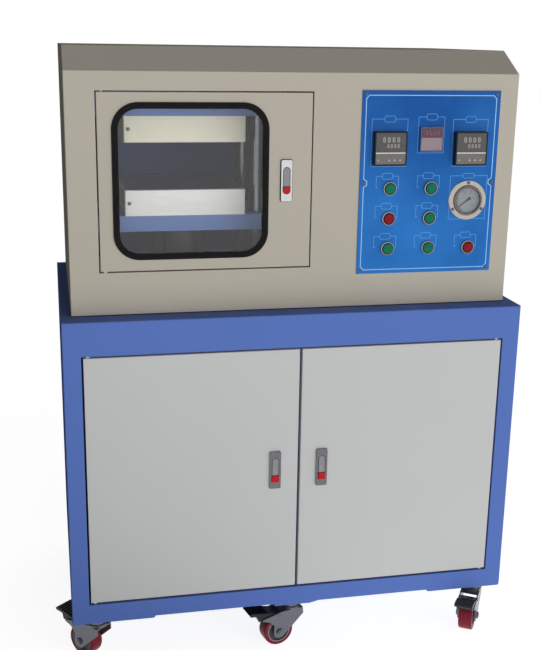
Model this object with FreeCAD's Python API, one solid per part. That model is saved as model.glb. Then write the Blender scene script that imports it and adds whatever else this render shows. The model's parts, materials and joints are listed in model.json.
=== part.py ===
import FreeCAD, Part
import math
import os

# Laboratory press for vulcanizing rubber: a castered cabinet with two doors, and above it a hood that holds a
# heated flat-plate press behind a windowed door, beside a control panel.
# Millimetres. X runs to the right, Y to the back, Z up. The origin is on the floor, under the cabinet's middle.

V = FreeCAD.Vector
X_AXIS, Y_AXIS, Z_AXIS = V(1, 0, 0), V(0, 1, 0), V(0, 0, 1)

# Cabinet: a welded frame of folded channels
CABINET_W = 920.0
CABINET_D = 560.0
CASTER_H = 102.0                    # floor to the underside of the mounting plates
MOUNT_PLATE_T = 4.5
RAIL_Z0 = CASTER_H + MOUNT_PLATE_T  # underside of the bottom rails
DECK_Z = 733.0                      # top of the cabinet
DECK_T = 4.0
CHANNEL = 35.0                      # width and depth of the folded channels
CHANNEL_T = 2.0
TOP_RAIL_H = 67.0
BOTTOM_RAIL_H = 36.8
FRONT_Y = -CABINET_D / 2
REAR_Y = CABINET_D / 2
SIDE_X = CABINET_W / 2
COVER_T = 1.5                       # sheet of panels, covers, hood and doors
EDGE_R = 1.5                        # outer edges of painted sheet
DECK_EDGE_R = 2.5                   # front corners of the frame and front edge of the deck

# Doors: folded pans, set flush into their openings
LEAF_T = 15.0
LEAF_GAP = 3.5
LEAF_FOOT_GAP = 4.5                 # under the cabinet doors
LEAF_LIP = 10.0
DOOR_MEETING_X, DOOR_MEETING_GAP = 1.9, 5.2
PIN_R = 3.0
PIN_INSET = 12.0                    # from the opening's edge to the hinge axis
PIN_BLOCK = 12.0
FIT = 0.05                          # radial clearance of a running fit
MULLION_W = 36.0
MULLION_D = 18.0

# Hood
HOOD_W = 880.0
HOOD_Y = FRONT_Y + 45.7             # front sheet
HOOD_TOP = DECK_Z + 500.8
SLOPE_Z = DECK_Z + 457.0            # where the front sheet turns into the slope
SLOPE_D = 80.0
JAMB_D = 18.0
HOOD_FLANGE = 18.0
PARTITION_X = 62.0

# Chamber door and window
CHAMBER_X0, CHAMBER_X1 = -381.9, 24.2
CHAMBER_Z0, CHAMBER_Z1 = 818.8, 1152.9
CHAMBER_GAP = 2.5
CHAMBER_PIN_Y = HOOD_Y + 6.5        # nearer to the front, so that the edge clears the narrow gap
WINDOW_X0, WINDOW_X1 = -356.0, -59.2
WINDOW_Z0, WINDOW_Z1 = 839.9, 1134.9
WINDOW_R = 50.0
SEAL_W = 12.2
SEAL_PROUD = 4.5
SEAL_BEHIND = 8.0
SEAL_BITE = 6.0                     # how far the seal reaches over the door's sheet
GLASS_T = 4.0
GLASS_BITE = 5.0                    # how far the pane reaches into the seal

# Flush locks
LOCK_W, LOCK_H, LOCK_R = 25.0, 79.5, 6.0
LOCK_PROUD = 4.0
LOCK_CASE_W, LOCK_CASE_H, LOCK_CASE_D = 20.0, 72.0, 24.0
LOCK_LEVER_W, LOCK_LEVER_L, LOCK_LEVER_T = 13.6, 36.4, 4.5
LOCK_LEVER_TOP = 26.0               # from the lock's middle up to the lever's round end
LOCK_BUTTON_W, LOCK_BUTTON_H = 15.0, 15.0
LOCK_BUTTON_R = 1.2                 # corners of the square buttons
LOCK_BUTTON_Z = -18.2
LOCK_BUTTON_PROUD = 3.0
LOCK_PLAY = 0.4
DOOR_LOCK_X, DOOR_LOCK_Z = {-1: -47.3, 1: 49.0}, 410.8
CHAMBER_LOCK_X, CHAMBER_LOCK_Z = -24.8, 987.8

# Control panel
PANEL_X0, PANEL_X1 = 121.2, 403.4
PANEL_Z0, PANEL_Z1 = 800.0, 1158.4
PANEL_T = 2.0
PANEL_MARGIN = 10.0                 # plate beyond the hood's cut-out
PANEL_Y = HOOD_Y - PANEL_T          # the plate's front
CONTROLLER = 65.5
CONTROLLER_AT = [(178.1, 1048.5), (343.8, 1047.6)]
TIMER = 48.0
TIMER_AT = (263.4, 1065.4)
CONTROLLER_PROUD, TIMER_PROUD = 13.0, 6.0
CONTROLLER_DEPTH, TIMER_DEPTH = 78.0, 70.0
BUTTON_AT = {
    "heat_button": (183.0, 969.5),
    "timer_button": (267.5, 969.5),
    "heat_stop_button": (183.0, 910.5),
    "pump_button": (267.5, 910.5),
    "rise_button": (183.0, 850.5),
    "lower_button": (267.5, 850.5),
    "stop_button": (352.5, 849.5),
}
BEZEL_R, BEZEL_PROUD = 14.0, 4.5
BARREL_R, BARREL_L = 11.15, 24.0
CAP_R, CAP_L, CAP_PROUD = 10.3, 13.0, 2.0
CONTACT_W, CONTACT_L = 28.0, 22.0

# Pressure gauge
GAUGE_AT = (346.0, 944.6)
GAUGE_FLANGE_R, GAUGE_BEZEL_R, GAUGE_FACE_R = 39.5, 30.0, 25.0
GAUGE_PROUD = 7.0
GAUGE_DIAL_Y = 1.0                  # the dial, behind the panel's front
GAUGE_CASE_R, GAUGE_CASE_D = 30.0, 32.0
NEEDLE_ZERO_DEG = 218.0             # direction of the needle at zero pressure, from +X towards +Z

# Press
PRESS_X, PRESS_Y = -207.0, -20.0
BEAM_W, BEAM_D = 404.0, 240.0
COLUMN_DX, COLUMN_DY = 152.0, 84.0
COLUMN_R, COLUMN_END_R = 18.0, 15.0
BED_T = 60.0
TABLE_Z0, TABLE_T = 878.0, 31.0
PLATEN_W, PLATEN_T = 236.0, 41.0
BOARD_T = 10.0
PLATEN_COVER_T = 2.0
DAYLIGHT = 92.0                     # between the platens with the ram down
CROSSHEAD_T = 70.0
NUT_AF, NUT_H = 46.0, 24.0
RAM_R, CYLINDER_R = 55.0, 85.0
CYLINDER_Z0 = 580.0
CYLINDER_WALL_BOTTOM = 18.0
RAM_Z0 = CYLINDER_Z0 + CYLINDER_WALL_BOTTOM + 0.3

# Hydraulic unit on the cabinet's floor
TANK_X0, TANK_X1 = 90.0, 380.0
TANK_Y0, TANK_Y1 = -120.0, 130.0
TANK_Z1 = 330.0
TANK_WALL = 3.0
MOTOR_R, MOTOR_H = 62.0, 190.0
MOTOR_X, MOTOR_Y = 235.0, 5.0
PIPE_R = 6.0

# Casters
WHEEL_R, WHEEL_W = 33.5, 30.0
TRAIL = 34.0                        # from the swivel axis to the axle
TOP_PLATE_L, TOP_PLATE_W, TOP_PLATE_T = 76.0, 60.0, 3.0
FORK_GAP, FORK_T = 35.0, 2.5
CROWN_BACK, CROWN_FRONT = -20.0, 27.0
CROWN_Z, CROWN_T = 80.0, 3.0        # top and thickness of the fork's crown
RACE_R, RACE_Z1 = 21.0, 92.6
FENDER_TIP_T, FENDER_TIP_Z = 74.0, 70.0
CHEEK_R = 14.0                      # round end of the cheeks, about the axle
AXLE_R = 4.0
KINGPIN_R, KINGPIN_HEAD_R = 6.0, 9.0
RIVET_R = 3.2
PEDAL_REACH, PEDAL_W = 104.0, 39.0
PEDAL_PIN_T, PEDAL_PIN_Z, PEDAL_PIN_R = 36.0, 72.0, 2.0
PEDAL_WALL = 2.5
PEDAL_RIBS, PEDAL_RIB_PITCH, PEDAL_RIB_H = 5, 7.0, 1.2
FRONT_CASTER_INSET, REAR_CASTER_INSET = 38.0, 30.0
CASTERS = {                         # name: (x, y, direction of the trail in degrees, braked)
    "front_left": (-410.0, FRONT_Y + FRONT_CASTER_INSET, 131.0, True),
    "front_middle": (0.0, FRONT_Y + FRONT_CASTER_INSET, 194.0, True),
    "front_right": (413.0, FRONT_Y + FRONT_CASTER_INSET, 238.0, True),
    "rear_left": (-410.0, REAR_Y - REAR_CASTER_INSET, 90.0, False),
    "rear_right": (413.0, REAR_Y - REAR_CASTER_INSET, 0.0, False),
}


# ---------------------------------------------------------------- forms used by several pieces

def box(x0, x1, y0, y1, z0, z1):
    return Part.makeBox(x1 - x0, y1 - y0, z1 - z0, V(x0, y0, z0))


def rod(radius, start, axis, length):
    return Part.makeCylinder(radius, length, start, axis)


def join(shapes):
    whole = shapes[0].fuse(shapes[1:]) if len(shapes) > 1 else shapes[0]
    return whole.removeSplitter()


def group(shapes):
    return Part.makeCompound(shapes)


def prism(points, travel):
    """A closed outline of points pushed along a vector."""
    wire = Part.makePolygon(points + [points[0]])
    return Part.Face(wire).extrude(travel)


def rounded_plate(x0, x1, z0, z1, radius, y0, y1):
    """A rectangle in XZ with rounded corners, between two depths."""
    solid = box(x0, x1, y0, y1, z0, z1)
    along_y = [e for e in solid.Edges if abs(e.tangentAt(e.FirstParameter).y) > 0.99]
    return solid.makeFillet(radius, along_y)


def turned(profile, at, axis):
    """A closed profile of (radius, height) turned about an axis through a point."""
    points = [V(r, 0, h) for r, h in profile]
    wire = Part.makePolygon(points + [points[0]])
    solid = Part.Face(wire).revolve(V(0, 0, 0), Z_AXIS, 360)
    solid.Placement = FreeCAD.Placement(at, FreeCAD.Rotation(Z_AXIS, axis))
    return Part.makeSolid(solid) if solid.ShapeType == "Shell" else solid


def hexagon(across_flats, at, axis, height):
    """A hexagonal nut or bolt head without its hole."""
    radius = across_flats / 2 / math.cos(math.pi / 6)
    corners = [V(radius * math.cos(math.radians(60 * i)), radius * math.sin(math.radians(60 * i)), 0)
               for i in range(6)]
    solid = prism(corners, V(0, 0, height))
    solid.Placement = FreeCAD.Placement(at, FreeCAD.Rotation(Z_AXIS, axis))
    return solid


def fillet_where(solid, radius, wanted):
    """Rounds the edges whose middle point satisfies a test."""
    edges = [e for e in solid.Edges if wanted(e.CenterOfMass, e)]
    return solid.makeFillet(radius, edges)


def is_line_along(edge, axis):
    return edge.Curve.TypeId == "Part::GeomLine" and abs(edge.Curve.Direction.dot(axis)) > 0.99


# ---------------------------------------------------------------- cabinet

def channel_frame(y_outer, y_inner, x_half, z0, z1, opening):
    """A rectangular frame folded from sheet, with its hollow side towards y_inner."""
    x0, x1, oz0, oz1 = opening
    inward = 1 if y_inner > y_outer else -1
    low, high = sorted([y_outer, y_inner])
    ring = box(-x_half, x_half, low, high, z0, z1).cut(box(x0, x1, low - 1, high + 1, oz0, oz1))
    hollow_y = sorted([y_outer + inward * CHANNEL_T, y_inner + inward])
    t = CHANNEL_T
    hollow = box(-x_half + t, x_half - t, hollow_y[0], hollow_y[1], z0 + t, z1 + 1)
    core = box(x0 - t, x1 + t, low - 2, high + 2, oz0 - t, oz1 + t)
    return ring.cut(hollow.cut(core))


def side_rail(side, z0, z1):
    """A channel from front to rear along one side, hollow side inwards."""
    outer, inner = side * SIDE_X, side * (SIDE_X - CHANNEL)
    low, high = sorted([outer, inner])
    rail = box(low, high, FRONT_Y + CHANNEL, REAR_Y - CHANNEL - COVER_T, z0, z1)
    hollow_x = sorted([outer - side * CHANNEL_T, inner - side])
    return rail.cut(box(hollow_x[0], hollow_x[1], FRONT_Y, REAR_Y, z0 + CHANNEL_T, z1 - CHANNEL_T))


def mounting_plates():
    """Thick plates under the bottom rails that take the casters."""
    depth = 80.0
    corner_w, middle_x0, middle_x1, slope = 163.0, -43.0, 33.0, 19.0
    low, high = CASTER_H, RAIL_Z0
    plates = []
    for side in (-1, 1):
        inner, outer = side * (SIDE_X - corner_w), side * SIDE_X
        outline = [V(inner, 0, low), V(outer - side * 3.5, 0, low), V(outer, 0, low + 3.5), V(outer, 0, high),
                   V(inner - side * 4, 0, high), V(inner - side * 4, 0, low + 2)]
        for y0 in (FRONT_Y, REAR_Y - COVER_T - depth):
            plate = prism(outline, V(0, depth, 0))
            plate.translate(V(0, y0, 0))
            plates.append(plate)
    middle = [V(middle_x0, 0, low), V(middle_x1, 0, low), V(middle_x1 + slope, 0, high), V(middle_x0, 0, high)]
    plate = prism(middle, V(0, depth, 0))
    plate.translate(V(0, FRONT_Y, 0))
    plates.append(plate)
    return plates


def cabinet_frame():
    inner_x = SIDE_X - CHANNEL
    rails_z1 = DECK_Z - DECK_T
    front = channel_frame(FRONT_Y, FRONT_Y + CHANNEL, SIDE_X, RAIL_Z0, rails_z1,
                          (-inner_x, inner_x, RAIL_Z0 + BOTTOM_RAIL_H, DECK_Z - TOP_RAIL_H))
    rear = channel_frame(REAR_Y - COVER_T, REAR_Y - COVER_T - CHANNEL, SIDE_X, RAIL_Z0, rails_z1,
                         (-inner_x, inner_x, RAIL_Z0 + BOTTOM_RAIL_H, rails_z1 - CHANNEL))
    rails = [side_rail(side, z0, z1) for side in (-1, 1)
             for z0, z1 in ((RAIL_Z0, RAIL_Z0 + BOTTOM_RAIL_H), (rails_z1 - CHANNEL, rails_z1))]
    floor_pan = box(-inner_x, inner_x, FRONT_Y + CHANNEL, REAR_Y - COVER_T - CHANNEL, RAIL_Z0,
                    RAIL_Z0 + CHANNEL_T)
    mullion_y = FRONT_Y + LEAF_T + 2.0
    mullion = box(-MULLION_W / 2, MULLION_W / 2, mullion_y, mullion_y + MULLION_D,
                  RAIL_Z0 + BOTTOM_RAIL_H, DECK_Z - TOP_RAIL_H)
    mullion = mullion.cut(box(-MULLION_W / 2 + CHANNEL_T, MULLION_W / 2 - CHANNEL_T, mullion_y + CHANNEL_T,
                              mullion_y + MULLION_D + 1, 0, HOOD_TOP))
    frame = join([front, rear, floor_pan, mullion, deck()] + rails + mounting_plates())
    holes = [rod(PIN_R, V(x, FRONT_Y + LEAF_T / 2, z), Z_AXIS, CHANNEL_T + 2)
             for x, z in cabinet_pin_holes()]
    frame = frame.cut(holes)
    return fillet_where(frame, DECK_EDGE_R, lambda c, e: abs(c.y - FRONT_Y) < 0.1 and e.Length > 300 and (
        (is_line_along(e, Z_AXIS) and abs(abs(c.x) - SIDE_X) < 0.1)
        or (is_line_along(e, X_AXIS) and abs(c.z - DECK_Z) < 0.1)))


def deck():
    """The cabinet's top sheet, with holes for the cylinder, the columns and the wiring."""
    plate = box(-SIDE_X, SIDE_X, FRONT_Y, REAR_Y, DECK_Z - DECK_T, DECK_Z)
    holes = [rod(CYLINDER_R + 2, V(PRESS_X, PRESS_Y, DECK_Z - DECK_T - 1), Z_AXIS, DECK_T + 2)]
    holes += [rod(COLUMN_END_R + 1, V(x, y, DECK_Z - DECK_T - 1), Z_AXIS, DECK_T + 2) for x, y in column_places()]
    holes.append(box(200, 300, 120, 160, DECK_Z - DECK_T - 1, DECK_Z + 1))
    return plate.cut(holes)


def cabinet_pin_holes():
    """(x, lower z) of the holes for the cabinet doors' pins, in the rails above and below the openings."""
    x = SIDE_X - CHANNEL - PIN_INSET
    low, high = RAIL_Z0 + BOTTOM_RAIL_H - CHANNEL_T - 1, DECK_Z - TOP_RAIL_H - 1
    return [(side * x, z) for side in (-1, 1) for z in (low, high)]


def louvre(x0, x1, z, depth, y, outward):
    """A pressed ventilation hood on a sheet that faces along Y, with the slot under it."""
    high = 9.0
    wedge = [V(x0, y, z + high), V(x0, y + outward * depth, z), V(x0, y, z)]
    skin = [V(x0, y, z + high - 2), V(x0, y + outward * (depth - 1.2), z - 1), V(x0, y - outward * 3, z - 1),
            V(x0, y - outward * 3, z + high - 2)]
    return prism(wedge, V(x1 - x0, 0, 0)), prism(skin, V(x1 - x0, 0, 0))


def vented_sheet(x0, x1, z0, z1, y0, y1, outward, rows, columns, slot_w, pitch, top):
    """A flat cover with a block of louvres."""
    sheet = box(x0, x1, y0, y1, z0, z1)
    face = y1 if outward > 0 else y0
    skins, cuts = [], []
    for column in range(columns):
        middle = (x0 + x1) / 2 + (column - (columns - 1) / 2) * (slot_w + 40)
        for row in range(rows):
            skin, cut = louvre(middle - slot_w / 2, middle + slot_w / 2, top - row * pitch, 6.0, face, outward)
            cut = cut.common(box(middle - slot_w / 2 + 1, middle + slot_w / 2 - 1, face - 20, face + 20, z0, z1))
            skins.append(skin)
            cuts.append(cut)
    return join([sheet] + skins).cut(cuts)


def cabinet_side_panels():
    """Pan-shaped panels, flush in the frame's two sides."""
    panels = []
    z0, z1 = RAIL_Z0 + BOTTOM_RAIL_H, DECK_Z - DECK_T - CHANNEL
    y0, y1 = FRONT_Y + CHANNEL, REAR_Y - COVER_T - CHANNEL
    for side in (-1, 1):
        x_out, x_in = side * SIDE_X, side * (SIDE_X - 20.0)
        low, high = sorted([x_out, x_in])
        pan = box(low, high, y0, y1, z0, z1)
        hollow = sorted([x_out - side * COVER_T, x_in - side])
        t = COVER_T
        panels.append(pan.cut(box(hollow[0], hollow[1], y0 + t, y1 - t, z0 + t, z1 - t)))
    return group(panels)


def rear_covers():
    """The screwed covers at the back of the cabinet and of the hood, both with louvres."""
    cabinet = vented_sheet(-SIDE_X, SIDE_X, RAIL_Z0, DECK_Z - DECK_T, REAR_Y - COVER_T, REAR_Y, 1,
                           8, 2, 180.0, 24.0, 560.0)
    hood = vented_sheet(-HOOD_W / 2, HOOD_W / 2, DECK_Z, HOOD_TOP, REAR_Y - COVER_T, REAR_Y, 1,
                        6, 2, 180.0, 24.0, 1150.0)
    return group([cabinet, hood])


# ---------------------------------------------------------------- doors and their pins

def leaf(x0, x1, z0, z1, y0):
    """A folded door pan with returns and inward lips."""
    y1, t = y0 + LEAF_T, COVER_T
    pan = box(x0, x1, y0, y1, z0, z1)
    pan = pan.cut(box(x0 + t, x1 - t, y0 + t, y1 - t, z0 + t, z1 - t))
    pan = pan.cut(box(x0 + LEAF_LIP, x1 - LEAF_LIP, y1 - t - 1, y1 + 1, z0 + LEAF_LIP, z1 - LEAF_LIP))
    return fillet_where(pan, 1.2, lambda c, e: abs(c.y - y0) < 0.01 and e.Length > 100)


def with_pin_blocks(pan, pin_x, pin_y, x_edge, front, z0, z1, hinge_side):
    """Adds the two bored corner blocks that a leaf turns on."""
    low, high = sorted([x_edge + hinge_side * COVER_T, pin_x + hinge_side * (PIN_BLOCK / 2)])
    y0, y1 = front + COVER_T, front + LEAF_T - COVER_T
    blocks = [box(low, high, y0, y1, z0 + COVER_T, z0 + PIN_BLOCK + COVER_T),
              box(low, high, y0, y1, z1 - PIN_BLOCK - COVER_T, z1 - COVER_T)]
    bores = [rod(PIN_R + FIT, V(pin_x, pin_y, z0 - 1), Z_AXIS, PIN_BLOCK + 3),
             rod(PIN_R + FIT, V(pin_x, pin_y, z1 - PIN_BLOCK - 2), Z_AXIS, PIN_BLOCK + 3)]
    return join([pan] + blocks).cut(bores)


def lock_cutout(x, z, y0):
    return box(x - LOCK_CASE_W / 2, x + LOCK_CASE_W / 2, y0 - 1, y0 + COVER_T + 0.5,
               z - LOCK_CASE_H / 2, z + LOCK_CASE_H / 2)


def cabinet_door(side):
    """One of the two lower doors; side is -1 for the left one."""
    z0 = RAIL_Z0 + BOTTOM_RAIL_H + LEAF_FOOT_GAP
    z1 = DECK_Z - TOP_RAIL_H - LEAF_GAP
    outer, meeting = side * (SIDE_X - CHANNEL - LEAF_GAP), DOOR_MEETING_X + side * DOOR_MEETING_GAP / 2
    x0, x1 = sorted([outer, meeting])
    pin_x = side * (SIDE_X - CHANNEL - PIN_INSET)
    pan = leaf(x0, x1, z0, z1, FRONT_Y)
    pan = with_pin_blocks(pan, pin_x, FRONT_Y + LEAF_T / 2, outer, FRONT_Y, z0, z1, -side)
    return pan.cut(lock_cutout(DOOR_LOCK_X[side], DOOR_LOCK_Z, FRONT_Y))


def chamber_door():
    pan = leaf(CHAMBER_X0, CHAMBER_X1, CHAMBER_Z0, CHAMBER_Z1, HOOD_Y)
    pan = with_pin_blocks(pan, CHAMBER_X0 - CHAMBER_GAP + PIN_INSET, CHAMBER_PIN_Y, CHAMBER_X0, HOOD_Y,
                          CHAMBER_Z0, CHAMBER_Z1, 1)
    b = SEAL_BITE
    window = rounded_plate(WINDOW_X0 + b, WINDOW_X1 - b, WINDOW_Z0 + b, WINDOW_Z1 - b, WINDOW_R - b,
                           HOOD_Y - 1, HOOD_Y + LEAF_T + 1)
    return pan.cut([window, lock_cutout(CHAMBER_LOCK_X, CHAMBER_LOCK_Z, HOOD_Y)])


def pin(x, y, z_hole, into_rail):
    """A hinge pin: its shank crosses the gap into the leaf, its head sits inside the rail."""
    shank, head_r, head_h = 24.0, 4.8, 3.0
    start = V(x, y, z_hole)
    along = -Z_AXIS * into_rail
    return join([rod(PIN_R, start, along, shank), rod(head_r, start, -along, head_h)])


def door_hinge_pins():
    x_cab = SIDE_X - CHANNEL - PIN_INSET
    low, high = RAIL_Z0 + BOTTOM_RAIL_H - CHANNEL_T, DECK_Z - TOP_RAIL_H + CHANNEL_T
    pins = [pin(side * x_cab, FRONT_Y + LEAF_T / 2, z, into)
            for side in (-1, 1) for z, into in ((low, -1), (high, 1))]
    x = CHAMBER_X0 - CHAMBER_GAP + PIN_INSET
    for z, into in ((CHAMBER_Z0 - CHAMBER_GAP - COVER_T, -1), (CHAMBER_Z1 + CHAMBER_GAP + COVER_T, 1)):
        pins.append(pin(x, CHAMBER_PIN_Y, z, into))
    return group(pins)


def rubber_ring(outer_inset, inner_inset, y0, y1):
    """A flat ring that follows the window's outline between two insets."""
    def plate(inset):
        return rounded_plate(WINDOW_X0 + inset, WINDOW_X1 - inset, WINDOW_Z0 + inset, WINDOW_Z1 - inset,
                             WINDOW_R - inset, y0, y1)
    return plate(outer_inset).cut(plate(inner_inset))


def window_seal():
    """A rubber glazing strip with one groove for the door's sheet and one for the pane."""
    front, back = HOOD_Y - SEAL_PROUD, HOOD_Y + SEAL_BEHIND
    body = rubber_ring(0, SEAL_W, front, back)
    body = fillet_where(body, 1.8, lambda c, e: abs(c.y - front) < 0.01)
    sheet_groove = rubber_ring(-1, SEAL_BITE, HOOD_Y, HOOD_Y + COVER_T)
    pane_groove = rubber_ring(SEAL_W - GLASS_BITE, SEAL_W + 1, HOOD_Y, HOOD_Y + GLASS_T)
    return body.cut([sheet_groove, pane_groove])


def window_glass():
    inset = SEAL_W - GLASS_BITE
    return rounded_plate(WINDOW_X0 + inset, WINDOW_X1 - inset, WINDOW_Z0 + inset, WINDOW_Z1 - inset,
                         WINDOW_R - inset, HOOD_Y, HOOD_Y + GLASS_T)


# ---------------------------------------------------------------- flush locks

def lock_body(x, z, y0):
    """Escutcheon and case, with the channel that the lever and the button lie in."""
    plate = rounded_plate(x - LOCK_W / 2, x + LOCK_W / 2, z - LOCK_H / 2, z + LOCK_H / 2, LOCK_R,
                          y0 - LOCK_PROUD, y0)
    plate = fillet_where(plate, 1.5, lambda c, e: abs(c.y - (y0 - LOCK_PROUD)) < 0.01)
    case = box(x - LOCK_CASE_W / 2, x + LOCK_CASE_W / 2, y0, y0 + LOCK_CASE_D,
               z - LOCK_CASE_H / 2, z + LOCK_CASE_H / 2)
    w, top = LOCK_LEVER_W / 2 + LOCK_PLAY, z + LOCK_LEVER_TOP + LOCK_PLAY
    channel = box(x - w, x + w, y0 - LOCK_PROUD - 1, y0 + 6, top - LOCK_LEVER_L - 2 * LOCK_PLAY, top)
    wide, button_z = LOCK_BUTTON_W / 2 + LOCK_PLAY, z + LOCK_BUTTON_Z
    well = box(x - wide, x + wide, y0 - LOCK_PROUD - 1, y0 + 6, button_z - LOCK_BUTTON_H / 2 - LOCK_PLAY,
               button_z + LOCK_BUTTON_H / 2)
    pivot_z = z + LOCK_LEVER_TOP - LOCK_LEVER_T / 2
    hole = rod(1.5, V(x - 10, y0 - 1.5, pivot_z), X_AXIS, 20)
    return join([plate, case]).cut([channel, well, hole])


def lock_lever(x, z, y0):
    """A finger lever with a dished face, round at its pivot, on its own cross pin."""
    half_t = LOCK_LEVER_T / 2
    pivot = V(x - LOCK_LEVER_W / 2, y0 - 1.5, z + LOCK_LEVER_TOP - half_t)
    across = V(LOCK_LEVER_W, 0, 0)
    blade_z0 = z + LOCK_LEVER_TOP - LOCK_LEVER_L
    blade = box(pivot.x, pivot.x + LOCK_LEVER_W, pivot.y - half_t - 0.8, pivot.y + half_t, blade_z0, pivot.z)
    lever = join([blade, rod(half_t, pivot, X_AXIS, across.x)])
    dish_r = 30.0
    dish = rod(dish_r, V(x, pivot.y - half_t - 0.8 - dish_r + 0.9, blade_z0 + 4), Z_AXIS, LOCK_LEVER_L - 13)
    return join([lever.cut(dish), rod(1.5 - FIT, V(x - 10, pivot.y, pivot.z), X_AXIS, 20)])


def lock_button(x, z, y0, square):
    """The red release button: square with small corners, or round at its lower edge."""
    w, h = LOCK_BUTTON_W / 2, LOCK_BUTTON_H / 2
    middle = z + LOCK_BUTTON_Z
    front, back = y0 - LOCK_PROUD - LOCK_BUTTON_PROUD, y0 + 3.0
    if square:
        return rounded_plate(x - w, x + w, middle - h + 0.4, middle + h - 0.4, LOCK_BUTTON_R, front, back)
    upper = box(x - w, x + w, front, back, middle, middle + h - 0.4)
    lower = rod(w, V(x, front, middle), Y_AXIS, back - front)
    return join([upper, lower])


# ---------------------------------------------------------------- hood

def hood_prism(inset, x_half, z_bottom, y_back):
    """The hood's side outline, moved inwards by a thickness, pushed across the width."""
    bend = math.tan(math.atan2(HOOD_TOP - SLOPE_Z, SLOPE_D) / 2)
    lower_bend = inset * math.tan((math.pi / 2 - math.atan2(HOOD_TOP - SLOPE_Z, SLOPE_D)) / 2)
    outline = [V(-x_half, HOOD_Y + inset, z_bottom), V(-x_half, HOOD_Y + inset, SLOPE_Z - lower_bend),
               V(-x_half, HOOD_Y + SLOPE_D + inset * bend, HOOD_TOP - inset),
               V(-x_half, y_back, HOOD_TOP - inset), V(-x_half, y_back, z_bottom)]
    return prism(outline, V(2 * x_half, 0, 0))


def hood_shell():
    """Front, slope, top and sides bent and welded from sheet, with flanges for the deck and the rear cover."""
    t, back = COVER_T, REAR_Y - COVER_T
    outer = hood_prism(0, HOOD_W / 2, DECK_Z, back)
    outer = fillet_where(outer, EDGE_R + 0.5, lambda c, e: (abs(abs(c.x) - HOOD_W / 2) < 0.1 and c.y < back - 1
                                                            and c.z > DECK_Z + 1)
                         or (is_line_along(e, X_AXIS) and c.z > SLOPE_Z - 1 and c.y < back - 1))
    cavity = hood_prism(t, HOOD_W / 2 - t, DECK_Z + t, back - t)
    f = HOOD_FLANGE
    underside = box(-HOOD_W / 2 + f, HOOD_W / 2 - f, HOOD_Y + f, back - f, DECK_Z - 1, DECK_Z + t + 1)
    rear_mouth = box(-HOOD_W / 2 + f, HOOD_W / 2 - f, back - t - 1, back + 1, DECK_Z + f, HOOD_TOP - f)
    g = CHAMBER_GAP
    chamber = (CHAMBER_X0 - g, CHAMBER_X1 + g, CHAMBER_Z0 - g, CHAMBER_Z1 + g)
    hole = box(chamber[0], chamber[1], HOOD_Y - 1, HOOD_Y + JAMB_D + 1, chamber[2], chamber[3])
    jamb = box(chamber[0] - t, chamber[1] + t, HOOD_Y, HOOD_Y + JAMB_D, chamber[2] - t, chamber[3] + t)
    m = PANEL_MARGIN
    panel_hole = box(PANEL_X0 + m, PANEL_X1 - m, HOOD_Y - 1, HOOD_Y + 5, PANEL_Z0 + m, PANEL_Z1 - m)
    pin_x = CHAMBER_X0 - g + PIN_INSET
    pin_hole = rod(PIN_R, V(pin_x, CHAMBER_PIN_Y, CHAMBER_Z0 - 20), Z_AXIS,
                   CHAMBER_Z1 - CHAMBER_Z0 + 40)
    return join([outer.cut([cavity, underside, rear_mouth]), jamb]).cut([hole, panel_hole, pin_hole])


def chamber_partition():
    """The sheet between the press chamber and the electrical side."""
    slab = hood_prism(COVER_T, HOOD_W / 2 - COVER_T, DECK_Z + COVER_T, REAR_Y - 2 * COVER_T)
    z0 = DECK_Z + COVER_T
    sheet = slab.common(box(PARTITION_X, PARTITION_X + COVER_T, HOOD_Y, REAR_Y, z0, HOOD_TOP))
    foot = box(PARTITION_X, PARTITION_X + 20, HOOD_Y + 25, REAR_Y - 25, DECK_Z, z0)
    return join([sheet, foot])


# ---------------------------------------------------------------- control panel

def square_cut(at, size, depth):
    x, z = at
    return box(x - size / 2, x + size / 2, PANEL_Y - 1, PANEL_Y + depth, z - size / 2, z + size / 2)


def control_panel():
    plate = box(PANEL_X0, PANEL_X1, PANEL_Y, HOOD_Y, PANEL_Z0, PANEL_Z1)
    plate = fillet_where(plate, 0.6, lambda c, e: abs(c.y - PANEL_Y) < 0.01)
    cuts = [square_cut(at, CONTROLLER - 4, 10) for at in CONTROLLER_AT]
    cuts.append(square_cut(TIMER_AT, TIMER - 3, 10))
    cuts += [rod(BARREL_R, V(x, PANEL_Y - 1, z), Y_AXIS, 10) for x, z in BUTTON_AT.values()]
    cuts.append(rod(GAUGE_CASE_R, V(GAUGE_AT[0], PANEL_Y - 1, GAUGE_AT[1]), Y_AXIS, 10))
    return plate.cut(cuts)


def square_instrument(at, size, proud, depth, neck):
    """A panel instrument: a bevelled frame, a sunk face and the case behind the plate."""
    x, z = at
    h = size / 2
    frame = box(x - h, x + h, PANEL_Y - proud, PANEL_Y, z - h, z + h)
    frame = fillet_where(frame, 1.5, lambda c, e: abs(c.y - PANEL_Y) > 0.01)
    border = 3.0
    face = box(x - h + border, x + h - border, PANEL_Y - proud - 1, PANEL_Y - proud + 1.0,
               z - h + border, z + h - border)
    n = h - neck
    case = box(x - n, x + n, PANEL_Y, PANEL_Y + depth, z - n, z + n)
    return join([frame.cut(face), case])


def panel_instruments():
    """Two temperature controllers and the timer between them."""
    solids = [square_instrument(at, CONTROLLER, CONTROLLER_PROUD, CONTROLLER_DEPTH, 2.0) for at in CONTROLLER_AT]
    solids.append(square_instrument(TIMER_AT, TIMER, TIMER_PROUD, TIMER_DEPTH, 1.5))
    return group(solids)


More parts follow.
